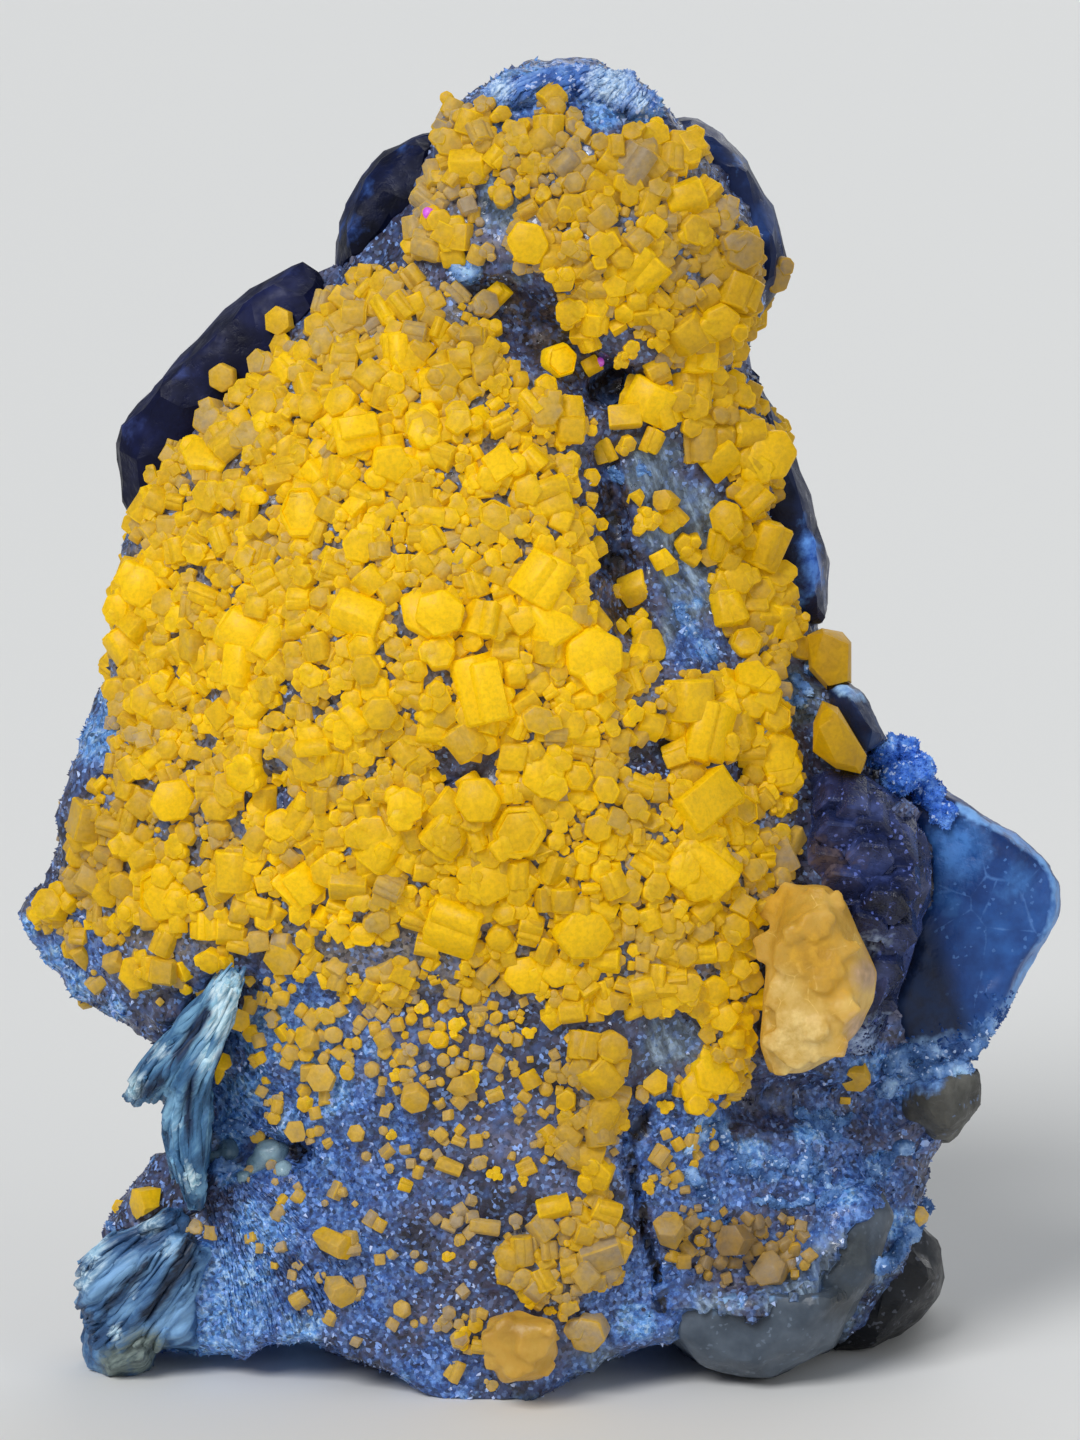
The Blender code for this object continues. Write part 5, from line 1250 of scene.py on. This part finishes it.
                "mustard": ((168, 124, 30), (196, 150, 44),
                            [(815, 955, 34, 0.75), (770, 900, 24, 0.8), (836, 985, 20, 0.6),
                             (800, 925, 24, 0.5)]),
                "rose": ((150, 124, 92), (190, 158, 122),
                         [(868, 975, 18, 0.8), (872, 950, 12, 0.6), (862, 1030, 18, 0.8),
                          (850, 1050, 12, 0.5)]),
                "cream": ((186, 154, 84), (212, 184, 118),
                          [(800, 1040, 40, 0.7), (810, 1062, 26, 0.8), (785, 985, 22, 0.5)])}}),
    ("bottomMass", "pale_apatite", ["apatite_bottom_mass"],
     {"scale": 140, "colours": ((150, 118, 46), (178, 144, 60), (200, 170, 96)), "rough": (0.35, 0.55),
      "lit": 0.2, "glow": 0.4, "voxel": 0.35, "relief": (("CLOUDS", 4, 0.6), ("VORONOI", 2.6, 0.5)),
      "blocks": [(506, 1340, 22), (534, 1346, 22), (520, 1370, 17), (492, 1362, 10), (548, 1330, 9),
                 (546, 1366, 10), (500, 1326, 8)]}),
)


# Small round knobs in a bunch
knobLook = {"count": 300, "sizes": (0.3, 0.85), "voxel": 0.2, "scale": 420,
            "colours": ((28, 66, 130), (62, 120, 206), (148, 198, 252)), "bump": 0.3,
            "flecks": ((196, 220, 255), 3600, 0.06), "tries": 1600, "sunk": 0.45, "apart": 0.62,
            "relief": (("CLOUDS", 0.8, 0.4),), "smooth": 60}


def buildKnobs():
    core = workingCopy("knobbly_quartz_crust", "knobCore")
    rng = random.Random(12)
    spacing = Spacing(4 * mm)
    pieces = [core]
    for place, way in zip(*surfacePoints(core, knobLook["tries"], 3)):
        radius = rng.uniform(*knobLook["sizes"]) * mm
        spot = Vector(place) - Vector(way) * radius * knobLook["sunk"]
        if len(pieces) <= knobLook["count"] and spacing.free(spot, radius, knobLook["apart"]):
            spacing.take(spot, radius)
            pieces.append(addBall(radius, spot))
    joined(pieces, "knobblyCrust")
    remesh(core, knobLook["voxel"] * mm)
    applied(core, "SMOOTH", factor=0.4, iterations=1)
    return dressMineral(core, knobLook, "quartz_knobs", "knobbly_quartz_crust")


# Druse: tiny quartz points over the open rock and the sugary crusts
druseLook = {"sizes": (0.12, 0.34), "seed": 21, "clear": 0.3 * mm, "within": 18, "onSlab": 0.3}


def quartzTip(sides, seed):
    bpy.ops.object.select_all(action="DESELECT")
    bpy.ops.mesh.primitive_cone_add(vertices=sides, radius1=1, radius2=0, depth=1.8,
                                    end_fill_type="NGON", location=(0, 0, 0.1))
    tip = bpy.context.object
    bpy.ops.object.transform_apply(location=True)
    editStart(tip)
    bpy.ops.transform.vertex_random(offset=0.14, seed=seed)
    editEnd()
    return taken(tip, [0.0] * (sides + 1))


def buildDruse(name, carrier, slot, count, spots, most=1.0, keep=None, frost=None):
    rng = random.Random(count)
    shapes = [quartzTip(5, 1), quartzTip(4, 2), quartzTip(6, 3)]
    places, ways = surfacePoints(carrier, count, druseLook["seed"])
    if keep:
        kept = keep(places, ways)
        places, ways = places[kept], ways[kept]
    shown = np.clip((rockLook["shownFrom"] + 0.2 - ways[:, 1]) * 4, 0, 1)
    weights = {zone: np.maximum(zoneWeight(spots[zone], *seenAt(places), shown),
                                behindShare(zone, places, ways)) for zone in spots}
    frosty = weights["frost"] if frost is None else np.full(len(places), frost)
    copies = []
    for place, way, cold in zip(places, ways, frosty):
        radius = rng.uniform(*druseLook["sizes"]) * mm * most
        axis = (Vector(way) + anyWay(rng) * (0.6 + cold)).normalized()
        size = (radius, radius, radius * rng.uniform(0.7, 1.2) * (1 + 0.6 * cold), 1)
        turn = (Matrix.Translation(Vector(place)) @ axis.to_track_quat("Z", "Y").to_matrix().to_4x4()
                @ Matrix.Rotation(rng.uniform(0, 6), 4, "Z") @ Matrix.Diagonal(size))
        # a few tips get a high tone, which shows as painted glints
        copies.append((rng.randrange(3), turn, rng.random() ** 2.6 * 1.05))
    druse = joinCopies(name, shapes, copies)
    corners = [len(shapes[copy[0]][0]) for copy in copies]
    for zone in weights:
        addAttribute(druse, zone, np.repeat(weights[zone], corners))
    liftToGround(druse)
    finishPiece(druse, carrier.data.materials[0], slot, smooth=0)


def sugared(places, seed):  # true where druse grows: seldom on the smooth dark patches and in the painted shade of cracks and holes
    smoothness = weightAt(zones["umber"] + zones["navy"] + zones["dark"] + zones["silver"], places)
    return np.random.default_rng(seed).random(len(places)) > smoothness * 0.9


def openRock(places):  # true where no stone is near and no spot is kept bare
    return (clearOf(seamTree, places, druseLook["clear"])
            & (weightAt(seamLook["bare"], places) == 0))


def onOpenFront(places, ways):
    return ((ways[:, 1] < 0.3) & (fieldDepth(*seenAt(places)) < druseLook["within"])
            & sugared(places, 6) & openRock(places))


def betweenCrystals(places, ways):
    return ((ways[:, 1] < 0.1) & (fieldDepth(*seenAt(places)) >= druseLook["within"])
            & sugared(places, 8))


def onBack(places, ways):
    return (ways[:, 1] >= 0.3) & openRock(places)


def overSpots(spots, seed, least, most, facing=2):  # a thinned druse over some spots
    def keep(places, ways):
        chances = np.random.default_rng(seed).uniform(least, most, len(places))
        return (ways[:, 1] < facing) & (weightAt(spots, places) > chances)
    return keep


# Fibres that follow guide lines over a blade of mica
fibreLook = {
    "bladeFibresUpper": {
        "guides": [[(232, 968), (200, 1005), (165, 1040), (128, 1092)],
                   [(236, 970), (206, 1020), (172, 1066), (146, 1104)],
                   [(240, 970), (214, 1026), (182, 1080), (172, 1140), (192, 1204)],
                   [(244, 972), (224, 1030), (204, 1080), (200, 1140), (200, 1204)]], "count": 190,
        "thick": (0.12, 0.55), "reach": (0.4, 0.9), "lift": (-0.3, 0.6)},
    "bladeFibresLower": {
        "guides": [[(184, 1206), (140, 1222), (104, 1242), (84, 1262)],
                   [(196, 1214), (150, 1246), (108, 1280), (84, 1306)],
                   [(202, 1228), (168, 1272), (128, 1318), (100, 1344)],
                   [(206, 1250), (192, 1290), (170, 1324), (154, 1344)]], "count": 180,
        "thick": (0.12, 0.6), "reach": (0.35, 0.9), "lift": (-0.3, 0.5)},
    "capFibres": {"guides": [[(478, 106), (490, 88), (512, 76), (540, 68)],
                             [(500, 112), (520, 92), (548, 78), (580, 68)],
                             [(560, 92), (580, 84), (604, 74), (616, 70)],
                             [(592, 128), (604, 108), (618, 90), (630, 80)],
                             [(628, 130), (640, 112), (650, 100), (655, 94)]], "count": 300,
                  "thick": (0.1, 0.26), "reach": (0.2, 0.5), "lift": (-0.2, 0.2)},
    "frostFibres": {"guides": [
                        [(206, 1200), (216, 1240), (226, 1290), (236, 1338)],
                        [(226, 1186), (250, 1230), (276, 1280), (296, 1334)],
                        [(252, 1176), (292, 1206), (332, 1246), (372, 1300)]], "count": 420,
                    "thick": (0.07, 0.18), "reach": (0.06, 0.2), "lift": (-0.05, 0.25)},
}


def alongGuide(guide, share):
    place = share * (len(guide) - 1)
    index = min(int(place), len(guide) - 2)
    part = place - index
    return np.array(guide[index]) * (1 - part) + np.array(guide[index + 1]) * part


def buildFibres(name, core, slot, spots):
    look = fibreLook[name]
    rng = random.Random(len(name))
    tree = treeOf(core)
    curve = bpy.data.curves.new(name, "CURVE")
    curve.dimensions = "3D"
    curve.bevel_depth = 1
    curve.bevel_resolution = 1
    curve.use_fill_caps = True
    steps = 7
    for _ in range(look["count"]):
        side = rng.uniform(0, len(look["guides"]) - 1.001)
        near, far = look["guides"][int(side)], look["guides"][int(side) + 1]
        part = side - int(side)
        start = rng.uniform(-0.05, 0.9)
        reach = rng.uniform(*look["reach"])
        lift = rng.uniform(*look["lift"]) * mm
        wave, turnOf = rng.uniform(0, 6), rng.uniform(3, 9)
        points = []
        for step in range(steps):
            share = min(1, max(0, start + reach * step / (steps - 1)))
            across, down = alongGuide(near, share) * (1 - part) + alongGuide(far, share) * part
            across += 2.5 * math.sin(wave + turnOf * share)
            foot, out, _ = spotOn(tree, across, down)
            if foot is not None and (not points or (foot - points[-1]).length > 0.1 * mm):
                points.append(foot + out * (lift + 0.12 * mm * math.sin(wave * 2 + step)))
        if len(points) < 4:
            continue
        spline = curve.splines.new("POLY")
        spline.points.add(len(points) - 1)
        thick = rng.uniform(*look["thick"]) * mm
        for index, point in enumerate(points):
            ends = math.sin(math.pi * (index + 0.6) / (len(points) + 0.2))
            spline.points[index].co = (*point, 1)
            spline.points[index].radius = thick * (0.35 + 0.65 * ends)
    pickOnly(newPiece(name, curve))
    bpy.ops.object.convert(target="MESH")
    fibres = bpy.context.object
    places = liftToGround(fibres)
    # zone weights as on the piece below, its painted highlights and shade among them
    for zone in spots:
        addAttribute(fibres, zone, weightAt(spots[zone], places))
    finishPiece(fibres, core.data.materials[0], slot, smooth=60)


# Blocks of the dark violet crystal, all grown the same way round
stepLook = {"spots": [(822, 800, 26), (850, 796, 24), (878, 812, 24), (838, 826, 30), (868, 846, 28),
                      (898, 850, 24), (820, 848, 24), (846, 880, 26), (884, 888, 26), (868, 916, 24),
                      (896, 930, 22), (905, 800, 16), (912, 880, 18), (880, 966, 20), (890, 1000, 16),
                      (915, 960, 14)], "tilt": (-0.9, 0.5, 0.35),
            "sizes": ((0.8, 1.1), (0.7, 0.95), (1.0, 1.5))}


def buildSteps(base, marks):
    rng = random.Random(8)
    tree = treeOf(base)
    copies = []
    for across, down, half in stepLook["spots"]:
        foot, out, _ = spotOn(tree, across, down)
        if foot is None:
            continue
        radius = half * view["unit"]
        size = [radius * rng.uniform(low, high) for low, high in stepLook["sizes"]]
        turn = (Matrix.Translation(foot - out * radius * rng.uniform(0.42, 0.6))
                @ Euler(stepLook["tilt"]).to_matrix().to_4x4()
                @ Matrix.Rotation(rng.gauss(0, 0.08), 4, "Z") @ Matrix.Diagonal((*size, 1)))
        copies.append((rng.randrange(2), turn, 0.3))
    piece = joinCopies("violetSteps", largeShapes, copies)
    for zone, spots in marks.items():
        addAttribute(piece, zone, weightAt(spots, pointsOf(piece)))
    finishPiece(piece, base.data.materials[0], "violet_quartz", smooth=20)


def buildLumps(name, balls, look):  # balls made one, with one skin where the look has a voxel size
    piece = joined(balls, name)
    bpy.ops.object.transform_apply(location=True)
    if "voxel" in look:
        remesh(piece, look["voxel"] * mm)
    return dressMineral(piece, look, "drusy_quartz")


# Bars of pale blue crust at the lower right edge and small bunches of blue knobs
crustLook = {"bars": [([(888, 1062), (915, 1050), (945, 1056), (972, 1046), (992, 1022)], 15),
                      ([(884, 1086), (910, 1078), (940, 1076), (972, 1068)], 15),
                      ([(866, 1184), (884, 1164), (906, 1147)], 9),
                      ([(927, 1188), (918, 1222), (898, 1250), (878, 1266)], 11),
                      ([(716, 1128), (730, 1142), (744, 1160)], 8),
                      ([(688, 1152), (700, 1136), (716, 1128)], 7),
                      ([(735, 1166), (752, 1174), (776, 1178)], 7),
                      ([(806, 1164), (824, 1178), (838, 1196)], 8),
                      ([(756, 1200), (790, 1206), (812, 1198)], 7), ([(700, 1214), (736, 1224)], 6),
                      ([(800, 1116), (822, 1126), (836, 1140)], 8), ([(700, 1190), (716, 1200)], 6),
                      ([(770, 1160), (800, 1172), (812, 1150)], 9),
                      ([(826, 1112), (838, 1128), (850, 1116)], 7), ([(690, 1170), (704, 1186)], 7),
                      ([(840, 1190), (822, 1204)], 8), ([(756, 722), (768, 728)], 8),
                      ([(782, 694), (792, 700), (804, 704)], 8), ([(806, 664), (814, 676)], 6),
                      ([(108, 1224), (116, 1232)], 6), ([(796, 680), (806, 690)], 8),
                      ([(676, 606), (684, 622), (700, 640), (714, 656)], 5), ([(612, 470), (620, 478)], 5),
                      ([(638, 466), (648, 474)], 4), ([(210, 1126), (236, 1124), (262, 1130)], 9),
                      ([(206, 1172), (232, 1168)], 9), ([(452, 266), (468, 276), (478, 268)], 8)],
             "scale": 420, "colours": ((44, 76, 128), (92, 134, 186), (176, 206, 236)), "bump": 0.3,
             "flecks": ((200, 222, 255), 3600, 0.05), "voxel": 0.2,
             "relief": (("VORONOI", 1.3, 0.8), ("CLOUDS", 0.7, 0.5)), "smooth": 50}


def buildBars(tree):
    rng = random.Random(5)
    balls = []
    for line, half in crustLook["bars"]:
        for across, down, _, _ in alongLine(half * 0.45, 1, 1, *line, line[-1]):
            foot, out, _ = spotOn(tree, across + rng.uniform(-2, 2), down + rng.uniform(-2, 2))
            if foot is not None:
                radius = half * view["unit"] * rng.uniform(0.35, 0.85)
                balls.append(addBall(radius, foot + out * radius * 0.2))
    return buildLumps("paleBlueCrust", balls, crustLook)


# Rounded grey lumps in the pocket on the left
pocketLook = {"lumps": [(272, 1154, 17), (258, 1166, 12), (284, 1170, 9), (228, 1150, 11), (214, 1158, 9),
                        (243, 1178, 8)], "scale": 220,
              "colours": ((92, 118, 136), (128, 158, 174), (180, 206, 216)), "rough": (0.2, 0.45),
              "clear": 0.2, "voxel": 0.22, "relief": (("CLOUDS", 1.6, 0.7),), "smooth": 60}


def buildPocket(tree):
    balls = [addBall(half * view["unit"], spotOn(tree, across, down)[0], 3)
             for across, down, half in pocketLook["lumps"]]
    buildLumps("pocketLumps", balls, pocketLook)


# Two tiny rose-coloured grains
grainLook = {"spots": [(428, 213, 5.5), (600, 362, 4.5)], "near": 0.3 * mm, "scale": 900,
             "colours": ((150, 70, 170), (196, 96, 206), (226, 150, 232)), "rough": (0.3, 0.5), "bump": 0.1,
             "lit": 0.3, "relief": (("CLOUDS", 0.5, 0.2),), "smooth": 60}


def buildGrains(tree):
    balls = []
    for across, down, half in grainLook["spots"]:
        foot, _, line = spotOn(tree, across, down)
        balls.append(addBall(half * view["unit"], foot - line * grainLook["near"], 3))
    buildLumps("roseGrains", balls, grainLook)


setStage()
rock, seamTree = buildRock()
rockTree = treeOf(rock)
apatiteMaterial = apatiteFinish()
smallShapes, largeShapes = crystalShapes()
spacing = Spacing(2.5 * mm)
buildLoneCrystals(spacing)
buildCrystals(rock, rockTree, seamTree, spacing)
buildDruse("quartzDruseFront", rock, "drusy_quartz", 26000, zones, keep=onOpenFront)
buildDruse("quartzDruseGaps", rock, "drusy_quartz", 15000, zones, 1.2, betweenCrystals)
buildDruse("quartzDruseBack", rock, "drusy_quartz", 24000, zones, 1.35, onBack)
made, spotsOf = {}, {}
for name, slot, nodes, look in stones:
    made[name] = buildStone(name, slot, nodes, look)
    spotsOf[name] = {zone: colours[2] for zone, colours in look.get("zones", {}).items()}
buildFibres("bladeFibresUpper", made["micaBladeUpper"], "pale_mica", spotsOf["micaBladeUpper"])
buildFibres("bladeFibresLower", made["micaBladeLower"], "pale_mica", spotsOf["micaBladeLower"])
buildFibres("capFibres", made["micaCap"], "pale_mica", spotsOf["micaCap"])
buildFibres("frostFibres", rock, "drusy_quartz", zones)
buildDruse("capSugar", made["micaCap"], "pale_mica", 2600, spotsOf["micaCap"], 0.8, frost=0.1)
buildSteps(made["violetCrystal"], spotsOf["violetCrystal"])
crust = buildBars(treeOf(rock, made["clearRim"], made["smokyLowerLobe"], made["blueSlab"],
                         made["greyLump"]))
buildDruse("crustSugar", crust, "drusy_quartz", 3600, {}, 0.7, frost=0.2)
buildPocket(rockTree)
buildGrains(treeOf(rock, bpy.data.objects["apatiteMiddle"], bpy.data.objects["apatiteUpper"]))
knobs = buildKnobs()
buildDruse("knobSugar", knobs, "quartz_knobs", 2600, {}, 0.75, frost=0.2)
buildDruse("slabSugar", made["blueSlab"], "blue_quartz", 9000, {}, 0.9, frost=0.2,
           keep=overSpots([(960, 1060, 34, 1), (915, 1070, 34, 1), (1000, 1015, 24, 0.8),
                           (975, 1090, 30, 1)], 2, 0.1, 0.8, druseLook["onSlab"]))
buildDruse("violetSugar", made["violetCrystal"], "violet_quartz", 5000, {}, 0.8, frost=0.0,
           keep=overSpots([(830, 800, 60, 0.8), (870, 942, 34, 1), (862, 1045, 34, 1),
                           (890, 840, 50, 0.6)], 3, 0.1, 1.2))
